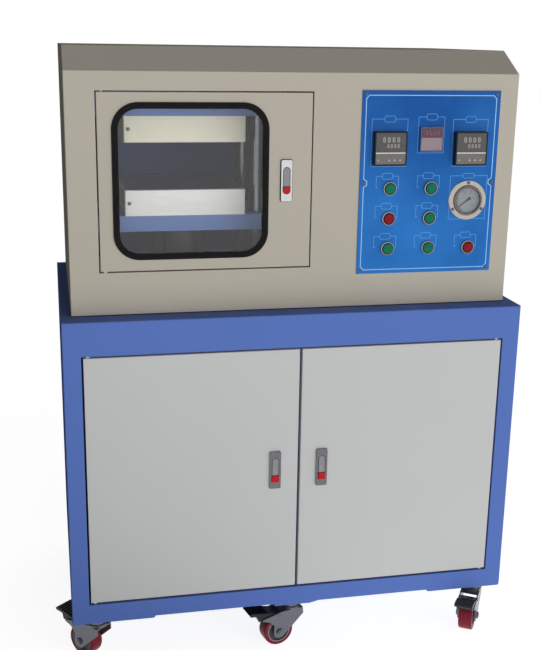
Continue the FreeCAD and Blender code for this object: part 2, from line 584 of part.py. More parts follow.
def button_bezels():
    """Seven chrome bezels, each in one piece with its barrel and contact block."""
    solids = []
    for x, z in BUTTON_AT.values():
        bore = CAP_R + FIT
        profile = [(bore, -BEZEL_PROUD), (BEZEL_R - 2.0, -BEZEL_PROUD), (BEZEL_R, -BEZEL_PROUD + 2.5),
                   (BEZEL_R, 0), (BARREL_R, 0), (BARREL_R, BARREL_L), (0, BARREL_L), (0, BARREL_L - 4),
                   (bore, BARREL_L - 4)]
        body = turned(profile, V(x, PANEL_Y, z), Y_AXIS)
        w = CONTACT_W / 2
        block = box(x - w, x + w, PANEL_Y + BARREL_L, PANEL_Y + BARREL_L + CONTACT_L, z - w, z + w)
        solids.append(join([body, block]))
    return group(solids)


def button_cap(at):
    """A slightly crowned push-button cap."""
    front = -BEZEL_PROUD - CAP_PROUD
    crown = [(0, front), (CAP_R - 3.0, front + 0.3), (CAP_R - 0.9, front + 0.9), (CAP_R, front + 1.8),
             (CAP_R, front + CAP_L), (0, front + CAP_L)]
    return turned(crown, V(at[0], PANEL_Y, at[1]), Y_AXIS)


def gauge_case():
    """Flange, rolled bezel, cup with its dial, and the pressure stem behind."""
    r, f = GAUGE_BEZEL_R, GAUGE_FACE_R
    p = -GAUGE_PROUD
    profile = [(0, GAUGE_DIAL_Y), (f + 1.5, GAUGE_DIAL_Y), (f + 1.5, p + 1.5), (f, p + 1.5), (f, p + 0.6),
               (f + 1.2, p),
               (r - 1.5, p), (r, p + 1.5), (r, -3.2), (GAUGE_FLANGE_R - 1.2, -2.2), (GAUGE_FLANGE_R, -1.2),
               (GAUGE_FLANGE_R, 0), (GAUGE_CASE_R, 0), (GAUGE_CASE_R, GAUGE_CASE_D - 3),
               (GAUGE_CASE_R - 3, GAUGE_CASE_D), (9, GAUGE_CASE_D), (9, GAUGE_CASE_D + 14),
               (6, GAUGE_CASE_D + 14), (6, GAUGE_CASE_D + 26), (0, GAUGE_CASE_D + 26)]
    at = V(GAUGE_AT[0], PANEL_Y, GAUGE_AT[1])
    arbor_hole = rod(1.0 + FIT, V(at.x, PANEL_Y, at.z), Y_AXIS, GAUGE_DIAL_Y + 4.0)
    return turned(profile, at, Y_AXIS).cut(arbor_hole)


def gauge_needle():
    """A tapered pointer with a round hub and a round counterweight, at zero pressure."""
    x, z = GAUGE_AT
    y0, thickness = PANEL_Y - 2.5, 0.8
    tip, tail = 22.5, 5.5
    blade = prism([V(tip, y0, 0.25), V(0, y0, 1.0), V(-tail, y0, 1.0), V(-tail, y0, -1.0), V(0, y0, -1.0),
                   V(tip, y0, -0.25)], V(0, thickness, 0))
    weight = rod(2.6, V(-tail, y0, 0), Y_AXIS, thickness)
    hub = rod(2.2, V(0, y0 - 0.5, 0), Y_AXIS, thickness + 0.5)
    arbor = rod(1.0, V(0, y0, 0), Y_AXIS, 6.0)
    needle = join([blade, weight, hub, arbor])
    needle.rotate(V(0, 0, 0), Y_AXIS, -NEEDLE_ZERO_DEG)
    needle.translate(V(x, 0, z))
    return needle


def gauge_lens():
    return rod(GAUGE_FACE_R + 1.5, V(GAUGE_AT[0], PANEL_Y - GAUGE_PROUD + 1.5, GAUGE_AT[1]), Y_AXIS, 1.5)


# ---------------------------------------------------------------- press

def column_places():
    return [(PRESS_X + i * COLUMN_DX, PRESS_Y + j * COLUMN_DY) for i in (-1, 1) for j in (-1, 1)]


def beam(z0, z1, radius, chamfer):
    """A bored steel beam of the press."""
    solid = box(PRESS_X - BEAM_W / 2, PRESS_X + BEAM_W / 2, PRESS_Y - BEAM_D / 2, PRESS_Y + BEAM_D / 2, z0, z1)
    solid = solid.makeChamfer(chamfer, [e for e in solid.Edges if is_line_along(e, Z_AXIS)])
    return solid.cut([rod(radius, V(x, y, z0 - 1), Z_AXIS, z1 - z0 + 2) for x, y in column_places()])


def crosshead_z0():
    return TABLE_Z0 + TABLE_T + 2 * (BOARD_T + PLATEN_T) + DAYLIGHT


def press_bed():
    """The lower beam, in one piece with the cylinder that hangs under the deck."""
    bed = beam(DECK_Z, DECK_Z + BED_T, COLUMN_END_R, 8)
    barrel = rod(CYLINDER_R, V(PRESS_X, PRESS_Y, CYLINDER_Z0), Z_AXIS, DECK_Z + 10 - CYLINDER_Z0)
    barrel = barrel.makeChamfer(6, [e for e in barrel.Edges if abs(e.CenterOfMass.z - CYLINDER_Z0) < 0.1
                                    and e.Curve.TypeId == "Part::GeomCircle"])
    port = hexagon(26, V(PRESS_X + CYLINDER_R - 4, PRESS_Y, CYLINDER_Z0 + 30), X_AXIS, 16)
    bore_z0 = CYLINDER_Z0 + CYLINDER_WALL_BOTTOM
    bore = rod(RAM_R + FIT, V(PRESS_X, PRESS_Y, bore_z0), Z_AXIS, DECK_Z + BED_T + 1 - bore_z0)
    return join([bed, barrel, port]).cut(bore)


def press_ram():
    ram = rod(RAM_R, V(PRESS_X, PRESS_Y, RAM_Z0), Z_AXIS, TABLE_Z0 - RAM_Z0)
    return ram.makeChamfer(2, [e for e in ram.Edges if abs(e.CenterOfMass.z - RAM_Z0) < 0.1
                               and e.Curve.TypeId == "Part::GeomCircle"])


def moving_table():
    return beam(TABLE_Z0, TABLE_Z0 + TABLE_T, COLUMN_R + FIT, 6)


def press_crosshead():
    z0 = crosshead_z0()
    return beam(z0, z0 + CROSSHEAD_T, COLUMN_END_R, 10)


def press_columns():
    """Four shouldered columns, with their nuts above the crosshead and under the deck."""
    top = crosshead_z0()
    solids = []
    for x, y in column_places():
        low, high = DECK_Z - DECK_T - NUT_H, top + CROSSHEAD_T + NUT_H
        profile = [(0, low - 6), (COLUMN_END_R - 2, low - 6), (COLUMN_END_R, low - 4),
                   (COLUMN_END_R, DECK_Z + BED_T), (COLUMN_R, DECK_Z + BED_T), (COLUMN_R, top),
                   (COLUMN_END_R, top), (COLUMN_END_R, high + 4), (COLUMN_END_R - 2, high + 6), (0, high + 6)]
        solids.append(turned(profile, V(x, y, 0), Z_AXIS))
        for z in (low, top + CROSSHEAD_T):
            nut = hexagon(NUT_AF, V(x, y, z), Z_AXIS, NUT_H)
            solids.append(nut.cut(rod(COLUMN_END_R, V(x, y, z - 1), Z_AXIS, NUT_H + 2)))
    return group(solids)


def slab(width, z0, thickness):
    return box(PRESS_X - width / 2, PRESS_X + width / 2, PRESS_Y - width / 2, PRESS_Y + width / 2,
               z0, z0 + thickness)


def platen(z0, z1):
    """A heating plate; its cartridge bores lie behind the cover strip."""
    plate = slab(PLATEN_W, z0, z1 - z0)
    return plate.makeChamfer(1.5, [e for e in plate.Edges if is_line_along(e, Z_AXIS)])


def platen_cover(z0, z1):
    """A bent aluminium strip round the platen and its insulation board."""
    outer = PLATEN_W + 2 * PLATEN_COVER_T
    ring = slab(outer, z0, z1 - z0)
    ring = ring.makeFillet(2.5, [e for e in ring.Edges if is_line_along(e, Z_AXIS)])
    return ring.cut(slab(PLATEN_W, z0 - 1, z1 - z0 + 2))


LOWER_BOARD_Z = TABLE_Z0 + TABLE_T
LOWER_PLATEN_Z = LOWER_BOARD_Z + BOARD_T
UPPER_PLATEN_Z = LOWER_PLATEN_Z + PLATEN_T + DAYLIGHT
UPPER_BOARD_Z = UPPER_PLATEN_Z + PLATEN_T


# ---------------------------------------------------------------- hydraulic unit

def oil_tank():
    """A welded tank with a flanged lid, a filler cap and a sight glass strip on its front."""
    z0 = RAIL_Z0 + CHANNEL_T
    body = box(TANK_X0, TANK_X1, TANK_Y0, TANK_Y1, z0, TANK_Z1 - 6)
    body = body.makeFillet(8, [e for e in body.Edges if is_line_along(e, Z_AXIS)])
    w = TANK_WALL
    oil_space = box(TANK_X0 + w, TANK_X1 - w, TANK_Y0 + w, TANK_Y1 - w, z0 + w, TANK_Z1 - 6)
    lid = box(TANK_X0 - 10, TANK_X1 + 10, TANK_Y0 - 10, TANK_Y1 + 10, TANK_Z1 - 6, TANK_Z1)
    filler = turned([(0, TANK_Z1), (20, TANK_Z1), (20, TANK_Z1 + 14), (26, TANK_Z1 + 16), (26, TANK_Z1 + 30),
                     (23, TANK_Z1 + 34), (0, TANK_Z1 + 34)], V(TANK_X1 - 40, TANK_Y0 + 45, 0), Z_AXIS)
    sight = box(TANK_X0 + 40, TANK_X0 + 62, TANK_Y0 - 8, TANK_Y0, z0 + 40, z0 + 150)
    shaft_hole = rod(20, V(MOTOR_X, MOTOR_Y, TANK_Z1 - 10), Z_AXIS, 20)
    return join([body.cut(oil_space), lid, filler, sight]).cut(shaft_hole)


def motor():
    """An upright finned motor with fan cowl and terminal box."""
    z0 = TANK_Z1
    profile = [(0, z0), (80, z0), (80, z0 + 10), (MOTOR_R, z0 + 14), (MOTOR_R, z0 + MOTOR_H - 40),
               (MOTOR_R + 5, z0 + MOTOR_H - 40), (MOTOR_R + 5, z0 + MOTOR_H - 8), (MOTOR_R - 3, z0 + MOTOR_H),
               (0, z0 + MOTOR_H)]
    body = turned(profile, V(MOTOR_X, MOTOR_Y, 0), Z_AXIS)
    fins = []
    for i in range(20):
        fin = box(MOTOR_R - 2, MOTOR_R + 5, -1.5, 1.5, z0 + 16, z0 + MOTOR_H - 40)
        fin.rotate(V(0, 0, 0), Z_AXIS, 18 * i + 9)
        fin.translate(V(MOTOR_X, MOTOR_Y, 0))
        fins.append(fin)
    terminals = box(MOTOR_X + 40, MOTOR_X + 100, MOTOR_Y - 35, MOTOR_Y + 35, z0 + 50, z0 + 115)
    return join([body, terminals] + fins)


def bent_pipe(points, radius, bend):
    """A round pipe along straight runs with tangent bends."""
    edges, start = [], points[0]
    for before, corner, after in zip(points, points[1:], points[2:]):
        into, out = (corner - before).normalize(), (after - corner).normalize()
        turn = into.getAngle(out)
        setback = bend * math.tan(turn / 2)
        first, last = corner - into * setback, corner + out * setback
        inside = (out - into).normalize()
        middle = corner + inside * (bend / math.cos(turn / 2) - bend)
        edges += [Part.makeLine(start, first), Part.Arc(first, middle, last).toShape()]
        start = last
    edges.append(Part.makeLine(start, points[-1]))
    path = Part.Wire(edges)
    section = Part.Wire(Part.makeCircle(radius, points[0], points[1] - points[0]))
    return path.makePipeShell([section], True, False)


def pump_motor():
    """Motor, valve block on the tank's lid, and the pressure pipe to the cylinder's port."""
    x0, y0, z0 = TANK_X0 + 6, TANK_Y0 + 20, TANK_Z1
    block = box(x0, x0 + 50, y0, y0 + 70, z0, z0 + 60)
    solenoid = rod(18, V(x0 + 25, y0 + 35, z0 + 60), Z_AXIS, 62)
    port = V(PRESS_X + CYLINDER_R + 12, PRESS_Y, CYLINDER_Z0 + 30)
    out_y, out_z = y0 + 60, z0 + 20
    route = [V(x0, out_y, out_z), V(x0 - 40, out_y, out_z), V(x0 - 40, PRESS_Y, out_z),
             V(x0 - 40, PRESS_Y, port.z), port]
    pipe = bent_pipe(route, PIPE_R, 18.0)
    return group([join([motor()]), join([block, solenoid]), pipe])


# ---------------------------------------------------------------- casters

def placed(shape, caster):
    """Moves a caster piece, drawn with its trail along +X, to its corner."""
    x, y, heading, _ = CASTERS[caster]
    copy = shape.copy()
    copy.rotate(V(0, 0, 0), Z_AXIS, heading)
    copy.translate(V(x, y, 0))
    return copy


def caster_top_plates():
    """Top plates with the upper ball race and the kingpin, one for each caster."""
    z1 = CASTER_H
    z0 = z1 - TOP_PLATE_T
    head_z1 = CROWN_Z - CROWN_T - 0.3
    head_z0 = head_z1 - 4.0
    solids = []
    for x, y, _, _ in CASTERS.values():
        plate = box(x - TOP_PLATE_L / 2, x + TOP_PLATE_L / 2, y - TOP_PLATE_W / 2 + 2, y + TOP_PLATE_W / 2 + 2,
                    z0, z1)
        plate = plate.makeFillet(6, [e for e in plate.Edges if is_line_along(e, Z_AXIS)])
        race = turned([(0, z0), (0, head_z0), (KINGPIN_HEAD_R, head_z0), (KINGPIN_HEAD_R, head_z1),
                       (KINGPIN_R, head_z1), (KINGPIN_R, RACE_Z1 + 0.4), (RACE_R - 1, RACE_Z1 + 0.4),
                       (RACE_R + 2, RACE_Z1 + 2.4), (RACE_R + 2, z0)], V(x, y, 0), Z_AXIS)
        solids.append(join([plate, race]))
    return group(solids)


def tangent_point(start, centre, radius, side):
    """Where a line from start touches a circle, in the XZ plane; side is 1 or -1."""
    dx, dz = centre.x - start.x, centre.z - start.z
    reach = math.hypot(dx, dz)
    lean = math.atan2(dz, dx) + side * math.asin(radius / reach)
    length = math.sqrt(reach ** 2 - radius ** 2)
    return V(start.x + length * math.cos(lean), start.y, start.z + length * math.sin(lean))


def cheek(y):
    """One side of the fork: from the crown a fender runs out over the wheel, and a leg down to the axle."""
    hub = V(TRAIL, y, WHEEL_R)
    knee, calf = V(CROWN_BACK - 1, y, 66), V(TRAIL + CHEEK_R - 1, y, 50)
    on_back = tangent_point(knee, hub, CHEEK_R, -1)
    on_front = tangent_point(calf, hub, CHEEK_R, 1)
    lowest = hub + V(0, 0, -CHEEK_R)
    corners = [on_back, knee, V(CROWN_BACK, y, CROWN_Z), V(CROWN_FRONT, y, CROWN_Z),
               V(FENDER_TIP_T, y, FENDER_TIP_Z), V(FENDER_TIP_T + 1, y, FENDER_TIP_Z - 3.5), V(58, y, 61), calf,
               on_front]
    sides = [Part.makeLine(a, b) for a, b in zip(corners, corners[1:])]
    sides.append(Part.Arc(on_front, lowest, on_back).toShape())
    return Part.Face(Part.Wire(sides)).extrude(V(0, FORK_T, 0))


def fork():
    """Pressed fork: crown with the lower race, two cheeks, the axle bolt with its nuts, and the pedal's rivet."""
    half = FORK_GAP / 2
    outer = half + FORK_T
    crown_z0 = CROWN_Z - CROWN_T
    crown = box(CROWN_BACK, CROWN_FRONT, -outer, outer, crown_z0, CROWN_Z)
    race = turned([(0, CROWN_Z), (RACE_R, CROWN_Z), (RACE_R, CROWN_Z + 3.5), (RACE_R - 3, CROWN_Z + 6),
                   (RACE_R - 3, CROWN_Z + 8), (RACE_R, CROWN_Z + 10), (RACE_R, RACE_Z1), (0, RACE_Z1)],
                  V(0, 0, 0), Z_AXIS)
    bolt_l = 2 * outer + 10
    axle = rod(AXLE_R, V(TRAIL, -bolt_l / 2, WHEEL_R), Y_AXIS, bolt_l)
    nuts = [hexagon(13, V(TRAIL, y, WHEEL_R), Y_AXIS, 4) for y in (-outer - 4, outer)]
    body = join([cheek(-outer), cheek(half), crown, race])
    kingpin_hole = rod(KINGPIN_R + FIT, V(0, 0, crown_z0 - 1), Z_AXIS, 20)
    return join([body.cut(kingpin_hole), axle] + nuts)


def pedal_rivet():
    """The rivet that a brake pedal turns on, with a domed head on each cheek."""
    outer = FORK_GAP / 2 + FORK_T
    dome = outer + 1.3
    profile = [(0, -dome), (RIVET_R - 1, -dome), (RIVET_R, -outer - 0.5), (RIVET_R, -outer), (PEDAL_PIN_R, -outer),
               (PEDAL_PIN_R, outer), (RIVET_R, outer), (RIVET_R, outer + 0.5), (RIVET_R - 1, dome), (0, dome)]
    return turned(profile, V(PEDAL_PIN_T, 0, PEDAL_PIN_Z), Y_AXIS)


def wheel():
    """Tyre and core turned in one outline, with sunk faces and a hub."""
    w, hub_w = WHEEL_W / 2, FORK_GAP / 2 - 0.5
    r = WHEEL_R
    half = [(AXLE_R + FIT, hub_w), (9, hub_w), (10, w - 4), (24, w - 4), (26, w - 0.5), (r - 3, w), (r - 0.8, w - 1.2),
            (r, w - 4)]
    profile = half + [(a, -b) for a, b in reversed(half)]
    return turned(profile, V(TRAIL, 0, WHEEL_R), Y_AXIS)


def pedal():
    """Moulded brake pedal: a hollow body between the fork's cheeks, under a ribbed tread beyond the wheel."""
    inner = FORK_GAP / 2 - 0.5
    t, z = PEDAL_PIN_T, PEDAL_PIN_Z
    half = PEDAL_W / 2
    tip_z, root_t, root_z = 90.0, t + 24, 82.0
    hub = rod(4.0, V(t, -inner, z), Y_AXIS, 2 * inner)
    body = prism([V(t - 3, -inner, z + 2.5), V(root_t, -inner, root_z), V(88, -inner, root_z + 4),
                  V(86, -inner, 76), V(83, -inner, 67), V(64, -inner, 64), V(50, -inner, 67), V(t + 2, -inner, z - 3.4)],
                 V(0, 2 * inner, 0))
    pocket = prism([V(t + 8, -inner + PEDAL_WALL, 60), V(84, -inner + PEDAL_WALL, 60),
                    V(84, -inner + PEDAL_WALL, 80), V(t + 8, -inner + PEDAL_WALL, z + 3.4)],
                   V(0, 2 * (inner - PEDAL_WALL), 0))
    slope = (tip_z - root_z) / (PEDAL_REACH - 4 - root_t)
    teeth = []
    for i in range(PEDAL_RIBS):
        rib_t = PEDAL_REACH - 8 - i * PEDAL_RIB_PITCH
        rib_z = root_z + slope * (rib_t - root_t)
        teeth += [V(rib_t, -half, rib_z), V(rib_t - 1, -half, rib_z + PEDAL_RIB_H),
                  V(rib_t - 2.5, -half, rib_z + PEDAL_RIB_H), V(rib_t - 3.5, -half, rib_z - slope * 3.5)]
    tread = prism([V(PEDAL_REACH - 2, -half, tip_z - 7), V(PEDAL_REACH, -half, tip_z - 4),
                   V(PEDAL_REACH - 4, -half, tip_z)] + teeth
                  + [V(root_t, -half, root_z), V(root_t, -half, root_z - 3)], V(0, 2 * half, 0))
    bore = rod(PEDAL_PIN_R + FIT, V(t, -half, z), Y_AXIS, 2 * half)
    return join([hub, body.cut(pocket), tread]).cut(bore)


# ---------------------------------------------------------------- every piece, by its name

def all_pieces():
    locks = {
        "left": (DOOR_LOCK_X[-1], DOOR_LOCK_Z, FRONT_Y),
        "right": (DOOR_LOCK_X[1], DOOR_LOCK_Z, FRONT_Y),
        "chamber": (CHAMBER_LOCK_X, CHAMBER_LOCK_Z, HOOD_Y),
    }
    pieces = {
        "cabinet_frame": cabinet_frame(),
        "cabinet_side_panels": cabinet_side_panels(),
        "rear_covers": rear_covers(),
        "left_cabinet_door": cabinet_door(-1),
        "right_cabinet_door": cabinet_door(1),
        "door_hinge_pins": door_hinge_pins(),
        "hood_shell": hood_shell(),
        "chamber_partition": chamber_partition(),
        "chamber_door": chamber_door(),
        "window_seal": window_seal(),
        "window_glass": window_glass(),
        "control_panel": control_panel(),
        "panel_instruments": panel_instruments(),
        "button_bezels": button_bezels(),
        "gauge_case": gauge_case(),
        "gauge_needle": gauge_needle(),
        "gauge_lens": gauge_lens(),
        "press_crosshead": press_crosshead(),
        "press_columns": press_columns(),
        "press_bed": press_bed(),
        "press_ram": press_ram(),
        "moving_table": moving_table(),
        "lower_insulation_board": slab(PLATEN_W, LOWER_BOARD_Z, BOARD_T),
        "lower_platen": platen(LOWER_PLATEN_Z, LOWER_PLATEN_Z + PLATEN_T),
        "lower_platen_cover": platen_cover(LOWER_BOARD_Z, LOWER_PLATEN_Z + PLATEN_T - 1),
        "upper_insulation_board": slab(PLATEN_W, UPPER_BOARD_Z, BOARD_T),
        "upper_platen": platen(UPPER_PLATEN_Z, UPPER_BOARD_Z),
        "upper_platen_cover": platen_cover(UPPER_PLATEN_Z + 1, UPPER_BOARD_Z + BOARD_T),
        "oil_tank": oil_tank(),
        "pump_motor": pump_motor(),
        "caster_top_plates": caster_top_plates(),
    }
    for name, (x, z, y0) in locks.items():
        pieces[name + "_lock_body"] = lock_body(x, z, y0)
        pieces[name + "_lock_lever"] = lock_lever(x, z, y0)
        pieces[name + "_lock_button"] = lock_button(x, z, y0, name != "chamber")
    for name, at in BUTTON_AT.items():
        pieces[name] = button_cap(at)
    one_fork, one_wheel, one_pedal = fork(), wheel(), pedal()
    braked_fork = join([one_fork, pedal_rivet()])
    for name, (_, _, _, braked) in CASTERS.items():
        pieces[name + "_fork"] = placed(braked_fork if braked else one_fork, name)
        pieces[name + "_wheel"] = placed(one_wheel, name)
        if braked:
            pieces[name + "_pedal"] = placed(one_pedal, name)
    return pieces


def main():
    os.makedirs("parts", exist_ok=True)
    for name, shape in all_pieces().items():
        if not shape.isValid():
            raise ValueError(name + " isn't a valid shape")
        shape.exportStep(os.path.join("parts", name + ".step"))
        print(f"{name}: {len(shape.Solids)} solid(s), {shape.Volume / 1000:.1f} cm3")


main()
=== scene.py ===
"""Looks of a rubber mold vulcanizer: a heated flat-plate press in a hood, on a castered cabinet.

Sizes are in millimetres in the machine's own frame (X right, Y back, Z up), and each finished mesh is scaled to metres.
"""
import json
import logging
import math
from abc import ABC, abstractmethod
from collections.abc import Callable, Iterable, Sequence
from dataclasses import dataclass
from enum import Enum
from functools import cache
from typing import Any

import bmesh
import bpy
from mathutils import Matrix, Vector


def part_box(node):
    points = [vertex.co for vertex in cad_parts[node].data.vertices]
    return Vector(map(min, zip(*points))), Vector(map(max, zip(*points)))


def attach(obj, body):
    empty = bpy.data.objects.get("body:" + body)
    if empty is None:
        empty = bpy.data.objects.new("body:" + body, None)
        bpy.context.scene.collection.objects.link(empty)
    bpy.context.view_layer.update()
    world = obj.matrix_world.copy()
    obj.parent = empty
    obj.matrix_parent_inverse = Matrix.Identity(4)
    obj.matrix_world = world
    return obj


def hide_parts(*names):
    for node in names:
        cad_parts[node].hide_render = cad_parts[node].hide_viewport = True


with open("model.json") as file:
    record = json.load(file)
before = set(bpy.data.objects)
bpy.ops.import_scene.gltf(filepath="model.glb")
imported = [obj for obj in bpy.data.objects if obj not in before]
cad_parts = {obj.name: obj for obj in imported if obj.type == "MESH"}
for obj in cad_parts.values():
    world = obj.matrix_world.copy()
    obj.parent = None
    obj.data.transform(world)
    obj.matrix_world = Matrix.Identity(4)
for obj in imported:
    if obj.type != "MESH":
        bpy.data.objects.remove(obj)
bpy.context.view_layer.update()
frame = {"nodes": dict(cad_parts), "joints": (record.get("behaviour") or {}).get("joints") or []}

LOG = logging.getLogger("vulcanizer")
MM = 0.001
RIGHT, BACK, FRONT, UP, DOWN = (1, 0, 0), (0, 1, 0), (0, -1, 0), (0, 0, 1), (0, 0, -1)
Point = Sequence[float]
Corner = Pair = tuple[float, float]
Triple = tuple[float, float, float]
Colour = tuple[float, float, float, float]
Tree = bpy.types.NodeTree
Verts = list[bmesh.types.BMVert]
Edges = list[bmesh.types.BMEdge]
Socket = bpy.types.NodeSocket


# ------------------------------------------------------------------ colours and node wiring

def paint(red: int, green: int, blue: int) -> Colour:
    """Turns a paint chip's 0 to 255 values into the linear colour a shader takes.

    Args:
        red: Red share.
        green: Green share.
        blue: Blue share.

    Returns:
        Linear red, green, blue and an alpha of 1.
    """
    def linear(share: int) -> float:
        """One channel without its display curve."""
        value = share / 255
        return value / 12.92 if value <= 0.04045 else ((value + 0.055) / 1.055) ** 2.4
    return linear(red), linear(green), linear(blue), 1.0


def place(tree: Tree, kind: str, inputs: dict[str | int, Any] | None = None,
          **settings: Any) -> bpy.types.Node:
    """Adds a shader node and fills its sockets.

    Args:
        tree: The tree that takes the node.
        kind: The node's type without its ShaderNode prefix.
        inputs: Socket name or index, with a constant or a socket to link from.
        settings: Properties of the node itself.

    Returns:
        The new node.
    """
    node = tree.nodes.new(f"ShaderNode{kind}")
    for name, value in settings.items():
        setattr(node, name, value)
    for key, value in (inputs or {}).items():
        if isinstance(value, Socket):
            tree.links.new(value, node.inputs[key])
        else:
            node.inputs[key].default_value = value
    return node


def sum_up(tree: Tree, operation: str, *terms: Any, clamp: bool = False) -> Socket:
    """Adds a Math node over numbers or sockets and returns its output."""
    return place(tree, "Math", dict(enumerate(terms)), operation=operation, use_clamp=clamp).outputs[0]


def noise(tree: Tree, place_at: Socket, scale: Any, detail: float, **more: float) -> Socket:
    """Adds a noise texture and returns its value."""
    return place(tree, "TexNoise", {"Vector": place_at, "Scale": scale, "Detail": detail, **more}).outputs[0]


def remap(tree: Tree, value: Socket, low: float, high: float, to_low: float = 0.0, to_high: float = 1.0) -> Socket:
    """Stretches the values from low to high over a new range, and holds them inside it."""
    return place(tree, "MapRange", {"Value": value, "From Min": low, "From Max": high, "To Min": to_low,
                                    "To Max": to_high}).outputs[0]


def blend_colours(tree: Tree, share: Any, first: Any, second: Any) -> Socket:
    """Mixes two colours by the share of the second."""
    return place(tree, "Mix", {0: share, 6: first, 7: second}, data_type="RGBA").outputs[2]


def open_group(name: str, inputs: dict[str, tuple[str, Any]], output: tuple[str, str]
               ) -> tuple[Tree, Any, Callable[[Socket], None]]:
    """Makes a group with its sockets, and a vector input for the place on the piece.

    Args:
        name: The group's name.
        inputs: Socket name with its kind and default.
        output: The one output's name and kind.

    Returns:
        The tree, its given values by name and a function that wires the result out.
    """
    tree = bpy.data.node_groups.new(name, "ShaderNodeTree")
    for label, (kind, default) in {"Place": ("Vector", None), **inputs}.items():
        socket = tree.interface.new_socket(label, in_out="INPUT", socket_type=f"NodeSocket{kind}")
        if default is not None:
            socket.default_value = default
    tree.interface.new_socket(output[0], in_out="OUTPUT", socket_type=f"NodeSocket{output[1]}")
    entry, leave = tree.nodes.new("NodeGroupInput"), tree.nodes.new("NodeGroupOutput")

    def send(result: Socket) -> None:
        """Wires the group's result out."""
        tree.links.new(result, leave.inputs[0])
    return tree, entry.outputs, send


@cache
def tone_drift() -> Tree:
    """A colour that gets slightly lighter and darker over a panel.

    Returns:
        The group.
    """
    tree, given, send = open_group("tone_drift", {
        "Colour": ("Color", (1, 1, 1, 1)), "Scale": ("Float", 3.0), "Amount": ("Float", 0.05)},
        ("Colour", "Color"))
    cloud = noise(tree, given["Place"], given["Scale"], 3.0, Roughness=0.55)
    swing = sum_up(tree, "MULTIPLY", sum_up(tree, "SUBTRACT", cloud, 0.5), given["Amount"])
    value = sum_up(tree, "MULTIPLY_ADD", swing, 2.0, 1.0)
    send(place(tree, "HueSaturation", {"Value": value, "Color": given["Colour"]}).outputs[0])
    return tree


@cache
def orange_peel() -> Tree:
    """The height of a sprayed coat: broad ripple with a fine grain on it.

    Returns:
        The group.
    """
    tree, given, send = open_group("orange_peel", {"Scale": ("Float", 260.0), "Grain": ("Float", 0.3)},
                                   ("Height", "Float"))
    ripple = noise(tree, given["Place"], given["Scale"], 1.0)
    fine = noise(tree, given["Place"], sum_up(tree, "MULTIPLY", given["Scale"], 4.3), 2.0)
    send(sum_up(tree, "ADD", ripple, sum_up(tree, "MULTIPLY", fine, given["Grain"])))
    return tree


@cache
def settled_dust() -> Tree:
    """Where dust lies: on faces that look up, in patches.

    Returns:
        The group.
    """
    tree, given, send = open_group("settled_dust", {"Amount": ("Float", 0.2)}, ("Mask", "Float"))
    normal = place(tree, "NewGeometry").outputs["Normal"]
    facing = remap(tree, place(tree, "SeparateXYZ", {0: normal}).outputs[2], 0.55, 1.0)
    spread = remap(tree, noise(tree, given["Place"], 9.0, 5.0), 0.35, 0.7, to_low=0.35)
    lying = sum_up(tree, "MULTIPLY", facing, spread)
    send(sum_up(tree, "MULTIPLY", lying, given["Amount"], clamp=True))
    return tree


@cache
def handling_marks() -> Tree:
    """Faint smears where hands and cloths have passed.

    Returns:
        The group.
    """
    tree, given, send = open_group("handling_marks", {"Scale": ("Float", 14.0), "Amount": ("Float", 0.5)},
                                   ("Mask", "Float"))
    smear = noise(tree, given["Place"], given["Scale"], 6.0, Roughness=0.65, Distortion=0.6)
    send(sum_up(tree, "MULTIPLY", remap(tree, smear, 0.48, 0.72), given["Amount"], clamp=True))
    return tree


@cache
def lined_grain() -> Tree:
    """Grinding or rolling lines, drawn out by a stretch of the coordinates.

    Returns:
        The group.
    """
    tree, given, send = open_group("lined_grain", {"Stretch": ("Vector", (40.0, 40.0, 900.0))},
                                   ("Height", "Float"))
    drawn = place(tree, "VectorMath", {0: given["Place"], 1: given["Stretch"]}, operation="MULTIPLY").outputs[0]
    send(noise(tree, drawn, 1.0, 3.0, Roughness=0.6))
    return tree


@cache
def turned_grain() -> Tree:
    """Fine rings about an axis through the coordinates' centre, along Y.

    Returns:
        The group.
    """
    tree, given, send = open_group("turned_grain", {"Pitch": ("Float", 2500.0)}, ("Height", "Float"))
    flat = place(tree, "VectorMath", {0: given["Place"], 1: (1.0, 0.0, 1.0)}, operation="MULTIPLY").outputs[0]
    radius = place(tree, "VectorMath", {0: flat}, operation="LENGTH").outputs["Value"]
    rings = place(tree, "TexNoise", {"W": radius, "Scale": given["Pitch"], "Detail": 2.0}, noise_dimensions="1D")
    send(rings.outputs[0])
    return tree


